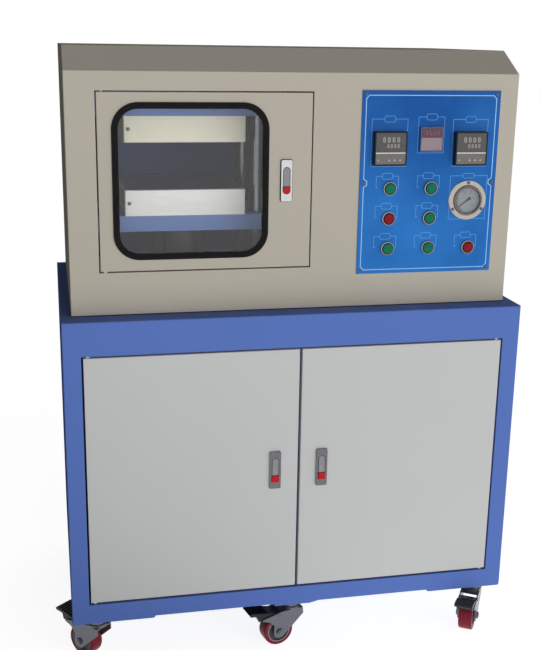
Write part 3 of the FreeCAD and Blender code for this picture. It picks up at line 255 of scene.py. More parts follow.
class Surface:
    """One material while it is being wired: its Principled shader and its coordinates."""

    def __init__(self, name: str) -> None:
        """Starts a material.

        Args:
            name: The material's name.
        """
        self.material = bpy.data.materials.new(name)
        self.material.use_nodes = True
        self.tree = self.material.node_tree
        self.shader = self.tree.nodes["Principled BSDF"]
        self.output = self.tree.nodes["Material Output"]
        self.where = place(self.tree, "TexCoord").outputs["Object"]

    def effect(self, group: Tree, **inputs: Any) -> Socket:
        """Places a shared effect with its values, and wires the place on the piece where none is given."""
        return place(self.tree, "Group", {"Place": self.where, **inputs}, node_tree=group).outputs[0]

    def tone(self, colour: Colour, scale: float, amount: float) -> Socket:
        """A colour that drifts a little, by patches per metre and by how much."""
        return self.effect(tone_drift(), Colour=colour, Scale=scale, Amount=amount)

    def feed(self, socket: str, source: Socket) -> None:
        """Links a source into the shader."""
        self.tree.links.new(source, self.shader.inputs[socket])

    def fix(self, **constants: Any) -> None:
        """Sets constants on the shader's own sockets; underscores stand for spaces."""
        for name, value in constants.items():
            self.shader.inputs[name.replace("_", " ")].default_value = value

    def uneven(self, level: float, swing: float, scale: float) -> None:
        """Makes the gloss swing about a level, by patches per metre."""
        cloud = noise(self.tree, self.where, scale, 4.0)
        self.feed("Roughness", remap(self.tree, cloud, 0.25, 0.75, level - swing, level + swing))

    def relief(self, height: Socket, depth: float) -> None:
        """Turns a height from 0 to 1 into bump of a depth in metres."""
        bump = place(self.tree, "Bump", {"Height": height, "Distance": depth, "Strength": 1.0})
        self.feed("Normal", bump.outputs[0])

    def peel(self, depth: float, **inputs: float) -> None:
        """Gives the surface a sprayed or spark-eroded ripple."""
        self.relief(self.effect(orange_peel(), **inputs), depth)

    def grain(self, lines: Socket, level: float, swing: float, depth: float) -> None:
        """Lets lines or rings in the metal swing its gloss about a level and stand in relief."""
        self.feed("Roughness", sum_up(self.tree, "MULTIPLY_ADD", lines, swing, level - swing / 2))
        self.relief(lines, depth)


# ------------------------------------------------------------------ finishes

class Finish(ABC):
    """How a material looks."""

    @abstractmethod
    def wire(self, surface: Surface) -> None:
        """Wires the finish into a new material."""


@dataclass(frozen=True)
class SprayedSteel(Finish):
    """Sheet steel with a baked coat: slight orange peel, drifting tone, dust on top faces."""

    colour: Colour
    roughness: float = 0.42
    peel: float = 2.5e-5
    drift: float = 0.035
    dust: float = 0.12
    gloss: float = 0.0

    def wire(self, surface: Surface) -> None:
        """Wires coat, dust and peel.

        Args:
            surface: The new material.
        """
        tone = surface.tone(self.colour, 2.6, self.drift)
        dust = surface.effect(settled_dust(), Amount=self.dust)
        surface.feed("Base Color", blend_colours(surface.tree, dust, tone, paint(196, 190, 178)))
        marks = surface.effect(handling_marks(), Amount=0.10)
        rough = sum_up(surface.tree, "ADD", sum_up(surface.tree, "MULTIPLY_ADD", dust, 0.4, self.roughness), marks)
        surface.feed("Roughness", rough)
        surface.fix(Specular_IOR_Level=self.gloss)
        surface.peel(self.peel)


@dataclass(frozen=True)
class PlatedSteel(Finish):
    """Chrome or zinc plating, a little cloudy."""

    colour: Colour
    roughness: float = 0.08
    cloud: float = 0.03
    ripple: float = 4e-6
    metallic: float = 1.0

    def wire(self, surface: Surface) -> None:
        """Wires a metal with uneven gloss.

        Args:
            surface: The new material.
        """
        surface.feed("Base Color", surface.tone(self.colour, 60.0, 0.06))
        surface.fix(Metallic=self.metallic, Specular_IOR_Level=0.1)
        surface.uneven(self.roughness, self.cloud, 90.0)
        surface.peel(self.ripple, Scale=400.0)


@dataclass(frozen=True)
class MachinedSteel(Finish):
    """Ground, turned or rolled metal with its lines."""

    colour: Colour
    roughness: float = 0.3
    stretch: Triple = (30.0, 30.0, 1400.0)
    depth: float = 1.2e-5
    metallic: float = 1.0

    def wire(self, surface: Surface) -> None:
        """Wires a metal with drawn-out lines.

        Args:
            surface: The new material.
        """
        lines = surface.effect(lined_grain(), Stretch=self.stretch)
        tone = surface.tone(self.colour, 20.0, 0.07)
        darker = blend_colours(surface.tree, sum_up(surface.tree, "MULTIPLY", lines, 0.25), tone, (0.1, 0.1, 0.1, 1))
        surface.feed("Base Color", darker)
        surface.fix(Metallic=self.metallic)
        surface.grain(lines, self.roughness, 0.2, self.depth)


@dataclass(frozen=True)
class SpunSteel(Finish):
    """Turned stainless about a centre, with its rings."""

    colour: Colour
    centre: Triple
    roughness: float = 0.16

    def wire(self, surface: Surface) -> None:
        """Wires a metal with rings about its centre.

        Args:
            surface: The new material.
        """
        away = tuple(-value * MM for value in self.centre)
        centred = place(surface.tree, "Mapping", {"Vector": surface.where, "Location": away}).outputs[0]
        rings = surface.effect(turned_grain(), Place=centred)
        surface.feed("Base Color", surface.tone(self.colour, 70.0, 0.05))
        surface.fix(Metallic=1.0)
        surface.grain(rings, self.roughness, 0.14, 3e-6)


@dataclass(frozen=True)
class MouldedPlastic(Finish):
    """Injection-moulded plastic with a spark-eroded grain."""

    colour: Colour
    roughness: float = 0.35
    grain: float = 8e-6
    glow: float = 0.0
    gloss: float = 0.25

    def wire(self, surface: Surface) -> None:
        """Wires plastic, with a slight bleed of light where it glows.

        Args:
            surface: The new material.
        """
        tone = surface.tone(self.colour, 45.0, 0.05)
        surface.feed("Base Color", tone)
        surface.uneven(self.roughness, 0.06, 120.0)
        surface.fix(Specular_IOR_Level=self.gloss)
        surface.peel(self.grain, Scale=1400.0, Grain=0.5)
        if self.glow:
            surface.feed("Emission Color", tone)
            surface.fix(Emission_Strength=self.glow)


@dataclass(frozen=True)
class Rubber(Finish):
    """Extruded black rubber or cast polyurethane, with a bloom."""

    colour: Colour
    bloom: Colour
    roughness: float = 0.55
    share: float = 0.35

    def wire(self, surface: Surface) -> None:
        """Wires rubber whose bloom comes through in patches.

        Args:
            surface: The new material.
        """
        marks = surface.effect(handling_marks(), Scale=38.0, Amount=self.share)
        surface.feed("Base Color", blend_colours(surface.tree, marks, self.colour, self.bloom))
        surface.uneven(self.roughness, 0.08, 60.0)
        surface.fix(Specular_IOR_Level=0.12)
        surface.peel(1.5e-5, Scale=900.0, Grain=0.6)


@dataclass(frozen=True)
class ClearGlass(Finish):
    """Clear glass or acrylic that lets light in without a dark shadow."""

    colour: Colour = (0.93, 0.97, 0.96, 1.0)

    def wire(self, surface: Surface) -> None:
        """Wires glass that shadow rays pass through.

        Args:
            surface: The new material.
        """
        surface.fix(Base_Color=self.colour, Transmission_Weight=1.0, IOR=1.45, Roughness=0.0)
        see_through = place(surface.tree, "BsdfTransparent", {"Color": self.colour})
        shadow = place(surface.tree, "LightPath").outputs["Is Shadow Ray"]
        mix = place(surface.tree, "MixShader", {0: shadow, 1: surface.shader.outputs[0], 2: see_through.outputs[0]})
        surface.tree.links.new(mix.outputs[0], surface.output.inputs["Surface"])


@dataclass(frozen=True)
class PrintedPlate(Finish):
    """A colour printed under a clear gloss film, with painted shade that deepens it towards its upper edge."""

    colour: Colour
    deep: Colour
    # Heights in metres over which the painted shade deepens the colour upward.
    top: float = 1.16
    foot: float = 0.80

    def wire(self, surface: Surface) -> None:
        """Wires the printed colour under its film, with painted shade that turns it to the deeper colour towards the
        top.

        Args:
            surface: The new material.
        """
        patches = sum_up(surface.tree, "SUBTRACT", noise(surface.tree, surface.where, 7.0, 3.0), 0.5)
        height = place(surface.tree, "SeparateXYZ", {0: surface.where}).outputs[2]
        # Painted shade: the colour turns to the deeper one from the foot height up to the top height.
        painted_shade_fall = remap(surface.tree, height, self.top, self.foot)
        share = sum_up(surface.tree, "MULTIPLY_ADD", patches, 1.6, painted_shade_fall, clamp=True)
        surface.feed("Base Color", blend_colours(surface.tree, share, self.deep, self.colour))
        surface.fix(Coat_Weight=0.15, Coat_Roughness=0.03, Coat_IOR=1.5, Specular_IOR_Level=0.05)
        surface.uneven(0.3, 0.04, 30.0)
        surface.peel(2.5e-5, Scale=45.0, Grain=0.05)


@dataclass(frozen=True)
class PrintInk(Finish):
    """Screen-printed ink, slightly uneven in its cover."""

    colour: Colour
    roughness: float = 0.4

    def wire(self, surface: Surface) -> None:
        """Wires ink with a drifting tone.

        Args:
            surface: The new material.
        """
        surface.feed("Base Color", surface.tone(self.colour, 180.0, 0.08))
        surface.uneven(self.roughness, 0.05, 300.0)
        surface.fix(Specular_IOR_Level=0.25)


@dataclass(frozen=True)
class FibreBoard(Finish):
    """Pressed insulation board with short fibres."""

    colour: Colour

    def wire(self, surface: Surface) -> None:
        """Wires speckled board.

        Args:
            surface: The new material.
        """
        fibres = surface.effect(lined_grain(), Stretch=(900.0, 160.0, 260.0))
        surface.feed("Base Color", blend_colours(surface.tree, sum_up(surface.tree, "MULTIPLY", fibres, 0.6),
                                                 self.colour, paint(120, 110, 92)))
        surface.uneven(0.8, 0.08, 60.0)
        surface.relief(fibres, 8e-5)


@dataclass(frozen=True)
class Supply:
    """A finish together with the record's slot that it belongs to."""

    slot: str
    finish: Finish


ROLLED = (14.0, 14.0, 900.0)


class Stock(Enum):
    """Every finish on the machine."""

    BLUE_ENAMEL = Supply("blue_paint", SprayedSteel(paint(88, 114, 182), 0.38, 2.2e-5))
    BEIGE_ENAMEL = Supply("beige_paint", SprayedSteel(paint(176, 170, 158), 0.47, 3.5e-5))
    DOOR_ENAMEL = Supply("grey_paint", SprayedSteel(paint(189, 190, 190), 0.45, 3.5e-5))
    MACHINE_ENAMEL = Supply("machine_blue", SprayedSteel(paint(110, 136, 190), 0.35, 6e-5, 0.08, 0.25))
    TANK_ENAMEL = Supply("tank_paint", SprayedSteel(paint(140, 146, 148), 0.4, 4e-5, 0.06, 0.3))
    MOTOR_ENAMEL = Supply("motor_paint", SprayedSteel(paint(58, 82, 112), 0.38, 6e-5, 0.08, 0.3))
    # The panel's second colour is painted shade: the print turns to it towards its top.
    PRINTED_BLUE = Supply("panel_blue", PrintedPlate(paint(36, 113, 190), paint(2, 78, 152)))
    BORDER_INK = Supply("panel_blue", PrintInk(paint(150, 196, 244)))
    FRAME_INK = Supply("panel_blue", PrintInk(paint(96, 156, 226)))
    BUTTON_CHROME = Supply("chrome", PlatedSteel((0.38, 0.38, 0.36, 1), 0.16, 0.04))
    LOCK_CHROME = Supply("chrome", PlatedSteel((0.62, 0.62, 0.62, 1), 0.14, 0.05))
    LOCK_SATIN = Supply("chrome", PlatedSteel((0.16, 0.16, 0.17, 1), 0.30, 0.05))
    LEVER_SATIN = Supply("chrome", PlatedSteel((0.24, 0.24, 0.26, 1), 0.26, 0.05))
    ROD_CHROME = Supply("chrome", MachinedSteel((0.17, 0.18, 0.20, 1), 0.24, (3.0, 3.0, 1500.0), 4e-6))
    NUT_STEEL = Supply("zinc", PlatedSteel((0.22, 0.22, 0.22, 1), 0.32, 0.06))
    SCREW_DARK = Supply("zinc", PlatedSteel((0.13, 0.14, 0.16, 1), 0.30, 0.06))
    BRIGHT_ZINC = Supply("zinc", PlatedSteel((0.15, 0.16, 0.18, 1), 0.24, 0.07, 2e-5, 0.7))
    PIN_ZINC = Supply("zinc", PlatedSteel((0.56, 0.56, 0.54, 1), 0.3, 0.05))
    GROUND_STEEL = Supply("ground_steel", MachinedSteel((0.38, 0.37, 0.35, 1), 0.36, (1100.0, 26.0, 26.0)))
    COVER_SHEET = Supply("aluminium_cover", MachinedSteel(paint(250, 250, 246), 0.42, ROLLED, 6e-6, 0.05))
    CREAM_SHEET = Supply("aluminium_cover", MachinedSteel(paint(244, 240, 218), 0.42, ROLLED, 6e-6, 0.05))
    BOARD = Supply("insulation", FibreBoard(paint(206, 196, 168)))
    SEAL_RUBBER = Supply("black_rubber", Rubber(paint(14, 12, 13), paint(28, 26, 27), 0.42, 0.3))
    PANE = Supply("pane", ClearGlass((1.0, 1.0, 1.0, 1.0)))
    LENS = Supply("gauge_glass", ClearGlass())
    HOUSING_BLACK = Supply("black_plastic", MouldedPlastic(paint(16, 18, 24), 0.42))
    CONTACT_BLACK = Supply("black_plastic", MouldedPlastic(paint(24, 24, 26), 0.5))
    FACE_GREY = Supply("black_plastic", MouldedPlastic(paint(82, 80, 80), 0.3, 3e-6))
    FACE_LOWER = Supply("black_plastic", MouldedPlastic(paint(108, 105, 102), 0.45, 3e-6))
    PEDAL_BLACK = Supply("black_plastic", MouldedPlastic(paint(20, 21, 23), 0.3, 2e-5, gloss=0.3))
    DIGIT_GREY = Supply("black_plastic", MouldedPlastic(paint(158, 156, 154), 0.4, 2e-6, 0.03))
    TRIM_SILVER = Supply("black_plastic", MouldedPlastic(paint(208, 202, 202), 0.28, 2e-6))
    KEY_GREY = Supply("black_plastic", MouldedPlastic(paint(168, 160, 156), 0.4, 2e-6))
    KEYPAD_PINK = Supply("black_plastic", MouldedPlastic(paint(146, 128, 129), 0.4, 4e-6))
    TIMER_WINDOW = Supply("red_plastic", MouldedPlastic(paint(70, 28, 54), 0.2, 1e-6, gloss=0.12))
    TIMER_DIGITS = Supply("red_plastic", MouldedPlastic(paint(150, 42, 62), 0.3, 1e-6, 0.12))
    TIMER_RIM = Supply("black_plastic", MouldedPlastic(paint(44, 66, 122), 0.35, 3e-6))
    TIMER_COVER = Supply("gauge_glass", ClearGlass((0.92, 0.92, 0.97, 1.0)))
    BUTTON_GREEN = Supply("green_plastic", MouldedPlastic(paint(4, 106, 78), 0.26, 3e-6, gloss=0.12))
    BUTTON_RED = Supply("red_plastic", MouldedPlastic(paint(124, 14, 28), 0.26, 3e-6, gloss=0.12))
    RELEASE_RED = Supply("red_plastic", MouldedPlastic(paint(176, 26, 36), 0.3, 3e-6, gloss=0.12))
    RELEASE_BRIGHT = Supply("red_plastic", MouldedPlastic(paint(170, 26, 36), 0.3, 3e-6, gloss=0.12))
    TYRE = Supply("red_tyre", Rubber(paint(124, 32, 48), paint(134, 64, 76), 0.34, 0.35))
    WHEEL_CORE = Supply("red_tyre", MouldedPlastic(paint(70, 70, 74), 0.4, 6e-6))
    RIM_GREY = Supply("red_tyre", MouldedPlastic(paint(150, 148, 148), 0.4, 6e-6))
    DIAL_WHITE = Supply("stainless", PrintInk(paint(144, 144, 154), 0.5))
    DIAL_BLACK = Supply("needle_black", PrintInk(paint(40, 40, 46), 0.5))
    NEEDLE = Supply("needle_black", PrintInk(paint(14, 14, 15), 0.45))
    SIGHT_OIL = Supply("gauge_glass", MouldedPlastic(paint(168, 128, 54), 0.1, 1e-6))


@cache
def material_for(name: str, finish: Finish) -> bpy.types.Material:
    """Makes a finish's material the first time that it is asked for.

    Args:
        name: The material's name.
        finish: What wires it.

    Returns:
        The one material of that finish.
    """
    surface = Surface(name)
    finish.wire(surface)
    return surface.material


def dress(stock: Stock, *nodes: str) -> None:
    """Gives solids of the machine their finish.

    Args:
        stock: The finish.
        nodes: The solids' names.
    """
    material = material_for(stock.name.lower(), stock.value.finish)
    for node in nodes:
        obj = frame["nodes"][node]
        if obj.material_slots:
            for material_slot in obj.material_slots:
                material_slot.material = material
        else:
            obj.data.materials.append(material)
        LOG.info("dressed %s in %s", node, material.name)


def span(node: str) -> tuple[Vector, Vector]:
    """The lowest and highest corner of a solid, in millimetres."""
    low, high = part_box(node)
    return low / MM, high / MM


def middle(node: str) -> Vector:
    """The middle of a solid's box, in millimetres."""
    low, high = span(node)
    return (low + high) / 2


# ------------------------------------------------------------------ shaping

@dataclass(frozen=True)
class Plaque:
    """A rectangle seen from the front, with rounded corners."""

    x: float
    z: float
    width: float
    height: float
    radius: float = 0.0
    steps: int = 5

    def edges(self, mesh: bmesh.types.BMesh, depth: float) -> Edges:
        """Draws the outline.

        Args:
            mesh: The mesh that takes it.
            depth: Its place along Y.

        Returns:
            The outline's edges.
        """
        made = bmesh.ops.create_grid(mesh, x_segments=1, y_segments=1, size=0.5)["verts"]
        bmesh.ops.scale(mesh, vec=(self.width, self.height, 1), verts=made)
        bmesh.ops.rotate(mesh, cent=(0, 0, 0), matrix=Matrix.Rotation(math.pi / 2, 3, "X"), verts=made)
        bmesh.ops.translate(mesh, vec=(self.x, depth, self.z), verts=made)
        face = made[0].link_faces[0]
        if self.radius:
            rounded = bmesh.ops.bevel(mesh, geom=made, offset=self.radius, segments=self.steps, profile=0.5,
                                      affect="VERTICES", material=-1)
            face = max(set(rounded["faces"]) | {f for v in rounded["verts"] for f in v.link_faces},
                       key=lambda each: each.calc_area())
        outline = list(face.edges)
        bmesh.ops.delete(mesh, geom=[face], context="FACES_ONLY")
        return outline


@dataclass(frozen=True)
class Disc:
    """A circle or regular polygon seen from the front."""

    x: float
    z: float
    radius: float
    steps: int = 32

    def edges(self, mesh: bmesh.types.BMesh, depth: float) -> Edges:
        """Draws the outline.

        Args:
            mesh: The mesh that takes it.
            depth: Its place along Y.

        Returns:
            The outline's edges.
        """
        made = bmesh.ops.create_circle(mesh, cap_ends=False, radius=self.radius, segments=self.steps)["verts"]
        bmesh.ops.rotate(mesh, cent=(0, 0, 0), matrix=Matrix.Rotation(math.pi / 2, 3, "X"), verts=made)
        bmesh.ops.translate(mesh, vec=(self.x, depth, self.z), verts=made)
        return list({edge for vert in made for edge in vert.link_edges})


@dataclass(frozen=True)
class Polygon:
    """Any closed outline of corners seen from the front."""

    corners: tuple[Corner, ...]

    def edges(self, mesh: bmesh.types.BMesh, depth: float) -> Edges:
        """Draws the outline at a place along Y and returns its edges."""
        verts = [mesh.verts.new((x, depth, z)) for x, z in self.corners]
        return [mesh.edges.new(pair) for pair in zip(verts, verts[1:] + verts[:1])]


Outline = Plaque | Disc | Polygon
UPRIGHT = Matrix.Rotation(math.pi / 2, 4, "X")


class Recess(Enum):
    """The drive in a screw's head."""

    CROSS = "cross"
    HEX = "hex"


def turn_to(start: Point, end: Point) -> Matrix:
    """The turn that takes one direction to another."""
    return Vector(start).rotation_difference(Vector(end)).to_matrix().to_4x4()


def shift(x: float, y: float, z: float) -> Matrix:
    """A move along the three axes."""
    return Matrix.Translation((x, y, z))


def arc(x: float, z: float, radius: float, start: float, end: float, steps: int) -> list[Corner]:
    """Points along a circle seen from the front, between two angles in half turns, both ends included."""
    angles = [math.pi * (start + (end - start) * step / steps) for step in range(steps + 1)]
    return [(x + radius * math.cos(angle), z + radius * math.sin(angle)) for angle in angles]


def tube(inner: float, outer: float, start: float, end: float) -> list[Corner]:
    """The closed profile of a plain ring."""
    return [(inner, start), (outer, start), (outer, end), (inner, end), (inner, start)]


def both_sides(half: Sequence[Corner]) -> list[Corner]:
    """A closed profile from its half above the middle plane."""
    return [*half, *[(radius, -height) for radius, height in reversed(half)], half[0]]


class Workpiece:
    """A mesh being shaped, in millimetres, in the machine's own frame."""

    def __init__(self) -> None:
        """Starts with an empty mesh."""
        self.mesh = bmesh.new()

    def _new(self, before: set[bmesh.types.BMVert]) -> Verts:
        """The vertices that weren't there before."""
        return [vert for vert in self.mesh.verts if vert not in before]

    @staticmethod
    def _only(kind: type, geometry: Iterable[Any]) -> list[Any]:
        """The vertices, edges or faces in an operator's result."""
        return [each for each in geometry if isinstance(each, kind)]

    def thicken(self, faces: list[bmesh.types.BMFace], travel: Point) -> None:
        """Gives faces a depth along a vector."""
        grown = bmesh.ops.extrude_face_region(self.mesh, geom=faces)["geom"]
        bmesh.ops.translate(self.mesh, vec=travel, verts=self._only(bmesh.types.BMVert, grown))

    def _draw_out(self, edges: Edges, travel: Point) -> tuple[Verts, Edges]:
        """Draws a wall out of edges.

        Args:
            edges: Where the wall starts.
            travel: How far and which way it goes.

        Returns:
            The vertices and edges at the wall's far end.
        """
        grown = bmesh.ops.extrude_edge_only(self.mesh, edges=edges)["geom"]
        verts = self._only(bmesh.types.BMVert, grown)
        bmesh.ops.translate(self.mesh, vec=travel, verts=verts)
        return verts, [edge for edge in self._only(bmesh.types.BMEdge, grown)
                       if all(vert in verts for vert in edge.verts)]

    def soften(self, edges: Iterable[bmesh.types.BMEdge], amount: float, steps: int = 2) -> None:
        """Rounds edges by how far the rounding reaches and its facets."""
        bmesh.ops.bevel(self.mesh, geom=list(edges), offset=amount, segments=steps, profile=0.5, affect="EDGES",
                        material=-1, clamp_overlap=True)

    def move(self, verts: Verts, by: Matrix) -> Verts:
        """Places vertices by a matrix and returns them."""
        bmesh.ops.transform(self.mesh, matrix=by, verts=verts)
        return verts

    def block(self, low: Point, high: Point, edge: float = 0.0, steps: int = 2) -> Verts:
        """A box between two corners.

        Args:
            low: Lowest corner.
            high: Highest corner.
            edge: Rounding of its edges.
            steps: Facets of the rounding.

        Returns:
            Its vertices.
        """
        before = set(self.mesh.verts)
        made = bmesh.ops.create_cube(self.mesh, size=1.0)["verts"]
        low, high = Vector(low), Vector(high)
        bmesh.ops.scale(self.mesh, vec=high - low, verts=made)
        bmesh.ops.translate(self.mesh, vec=(low + high) / 2, verts=made)
        if edge:
            self.soften({e for v in made for e in v.link_edges}, edge, steps)
        return self._new(before)

    def turned(self, profile: Sequence[Corner], at: Point, axis: Point, steps: int) -> Verts:
        """A profile of radius and height, spun about an axis.

        Args:
            profile: From the axis round to the axis again, or closed by repeating its first point.
            at: Where the height of 0 lies.
            axis: Which way heights grow.
            steps: Facets round the axis.

        Returns:
            Its vertices.
        """
        before = set(self.mesh.verts)
        closed = profile[0] == profile[-1]
        points = [self.mesh.verts.new((r, 0, h)) for r, h in (profile[:-1] if closed else profile)]
        pairs = list(zip(points, points[1:])) + ([(points[-1], points[0])] if closed else [])
        edges = [self.mesh.edges.new(pair) for pair in pairs]
        bmesh.ops.spin(self.mesh, geom=points + edges, cent=(0, 0, 0), axis=(0, 0, 1), dvec=(0, 0, 0),
                       angle=math.tau, steps=steps, use_merge=True, use_duplicate=False)
        bmesh.ops.remove_doubles(self.mesh, verts=self._new(before), dist=0.001)
        return self.move(self._new(before), shift(*at) @ turn_to(UP, axis))

    def pierced(self, outer: Outline, holes: Sequence[Outline], front: float, back: float, edge: float = 0.0,
                steps: int = 2) -> Verts:
        """A plate seen from the front, with holes.

        Args:
            outer: Its outline.
            holes: Outlines cut through it.
            front: Its front face along Y.
            back: Its back face along Y.
            edge: Rounding of the front rims.
            steps: Facets of the rounding.

        Returns:
            Its vertices.
        """
        before = set(self.mesh.verts)
        rims = [edge for outline in (outer, *holes) for edge in outline.edges(self.mesh, front)]
        if holes:
            faces = self._only(bmesh.types.BMFace, bmesh.ops.triangle_fill(
                self.mesh, use_beauty=True, use_dissolve=False, edges=rims, normal=FRONT)["geom"])
        else:
            faces = bmesh.ops.edgeloop_fill(self.mesh, edges=rims)["faces"]
        self.thicken(faces, (0, back - front, 0))
        if edge:
            self.soften([rim for rim in rims if rim.is_valid], edge, steps)
        return self._new(before)

    def line(self, outline: Outline, width: float, front: float, back: float) -> Verts:
        """A thin band of even width just inside an outline.

        Args:
            outline: Its outer edge.
            width: Its width.
            front: Its front face along Y.
            back: Its back face along Y.

        Returns:
            Its vertices.
        """
        before = set(self.mesh.verts)
        rims = outline.edges(self.mesh, front)
        face = bmesh.ops.edgeloop_fill(self.mesh, edges=rims)["faces"][0]
        band = bmesh.ops.inset_region(self.mesh, faces=[face], thickness=width, use_even_offset=True,
                                      use_boundary=True)["faces"]
        bmesh.ops.delete(self.mesh, geom=[face], context="FACES")
        self.thicken(band, (0, back - front, 0))
        return self._new(before)

    def pipe(self, stops: Sequence[Point], radius: float, bend: float, sides: int = 16) -> None:
        """A round pipe along straight runs with tangent bends.

        Args:
            stops: The route's corners.
            radius: The pipe's radius.
            bend: Radius of every bend.
            sides: Facets round the pipe.
        """
        route = [Vector(stop) for stop in stops]
        ring = bmesh.ops.create_circle(self.mesh, cap_ends=False, radius=radius, segments=sides)["verts"]
        self.move(ring, shift(*route[0]) @ turn_to(UP, route[1] - route[0]))
        edges = list({edge for vert in ring for edge in vert.link_edges})
        first, here = edges, route[0]
        for last, corner, following in zip(route, route[1:], route[2:] + [None]):
            into = (corner - last).normalized()
            turn = into.angle(following - corner) if following else 0.0
            setback = bend * math.tan(turn / 2)
            target = corner - into * setback
            verts, edges = self._draw_out(edges, target - here)
            here = target
            if following:
                out = (following - corner).normalized()
                axis = into.cross(out)
                centre = target + axis.cross(into).normalized() * bend
                spun = bmesh.ops.spin(self.mesh, geom=verts + edges, cent=centre, axis=axis, dvec=(0, 0, 0),
                                      angle=turn, steps=6, use_duplicate=False)["geom_last"]
                edges = self._only(bmesh.types.BMEdge, spun)
                here = corner + out * setback
        for end in (first, edges):
            bmesh.ops.edgeloop_fill(self.mesh, edges=end)

    def screw(self, at: Point, facing: Point, radius: float, height: float, recess: Recess = Recess.CROSS) -> None:
        """A crowned screw head with its drive.

        Args:
            at: The middle of its seat.
            facing: Which way the head looks.
            radius: The head's radius.
            height: The head's height.
            recess: The drive's form.
        """
        before = set(self.mesh.verts)
        if recess is Recess.HEX:
            drive: Outline = Disc(0, 0, radius * 0.52, 6)
        else:
            a, b = radius * 0.13, radius * 0.5
            drive = Polygon(((b, -a), (b, a), (a, a), (a, b), (-a, b), (-a, a), (-b, a), (-b, -a), (-a, -a),
                             (-a, -b), (a, -b), (a, -a)))
        rim, slot = Disc(0, 0, radius, 20).edges(self.mesh, -height), drive.edges(self.mesh, -height)
        bmesh.ops.triangle_fill(self.mesh, use_beauty=True, use_dissolve=False, edges=rim + slot, normal=FRONT)
        for edges, depth in ((rim, height), (slot, height * 0.55)):
            bmesh.ops.edgeloop_fill(self.mesh, edges=self._draw_out(edges, (0, depth, 0))[1])
        self.soften([edge for edge in rim if edge.is_valid], height * 0.6, 3)
        self.move(self._new(before), shift(*at) @ turn_to(FRONT, facing))

    def letters(self, text: str, x: float, z: float, height: float, front: float, back: float) -> None:
        """Plain characters standing on a face that looks to the front.

        Args:
            text: The characters.
            x: Their middle along X.
            z: Their middle along Z.
            height: The size of the type.
            front: Their front face along Y.
            back: Their back face along Y.
        """
        before = set(self.mesh.verts)
        curve = bpy.data.curves.new("type", "FONT")
        curve.body, curve.size, curve.extrude = text, height, (back - front) / 2
        curve.align_x, curve.align_y, curve.resolution_u = "CENTER", "CENTER", 3
        holder = bpy.data.objects.new("type", curve)
        made = bpy.data.meshes.new_from_object(holder)
        self.mesh.from_mesh(made)
        bpy.data.objects.remove(holder)
        bpy.data.meshes.remove(made)
        bpy.data.curves.remove(curve)
        self.move(self._new(before), shift(x, (front + back) / 2, z) @ UPRIGHT)

    def finish(self, name: str, body: str, stock: Stock, stands_for: Sequence[str] = (),
               finish: Finish | None = None, crease: float = 32.0) -> None:
        """Turns the workpiece into a dressed piece that rides on a body.

        Args:
            name: The piece's name.
            body: The body that carries it.
            stock: Its finish.
            stands_for: Solids that it replaces.
            finish: A finish of its own, used in place of the stock's.
            crease: Edges sharper than this many degrees stay sharp.
        """
        bmesh.ops.remove_doubles(self.mesh, verts=self.mesh.verts[:], dist=0.0015)
        bmesh.ops.dissolve_degenerate(self.mesh, edges=self.mesh.edges[:], dist=0.0005)
        bmesh.ops.recalc_face_normals(self.mesh, faces=self.mesh.faces[:])
        bmesh.ops.scale(self.mesh, vec=(MM, MM, MM), verts=self.mesh.verts[:])
        limit = math.radians(crease)
        for face in self.mesh.faces:
            face.smooth = True
        for edge in self.mesh.edges:
            edge.smooth = edge.calc_face_angle(0.0) < limit
        data = bpy.data.meshes.new(name)
        self.mesh.to_mesh(data)
        self.mesh.free()
        piece = bpy.data.objects.new(name, data)
        bpy.context.scene.collection.objects.link(piece)
        label = name if finish else stock.name.lower()
        data.materials.append(material_for(label, finish or stock.value.finish))
        shading = piece.modifiers.new("even shading", "WEIGHTED_NORMAL")
        shading.keep_sharp = True
        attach(piece, body)
        if stands_for:
            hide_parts(*stands_for)
        LOG.info("made %s on %s with %d faces", name, body, len(data.polygons))


# ------------------------------------------------------------------ surroundings

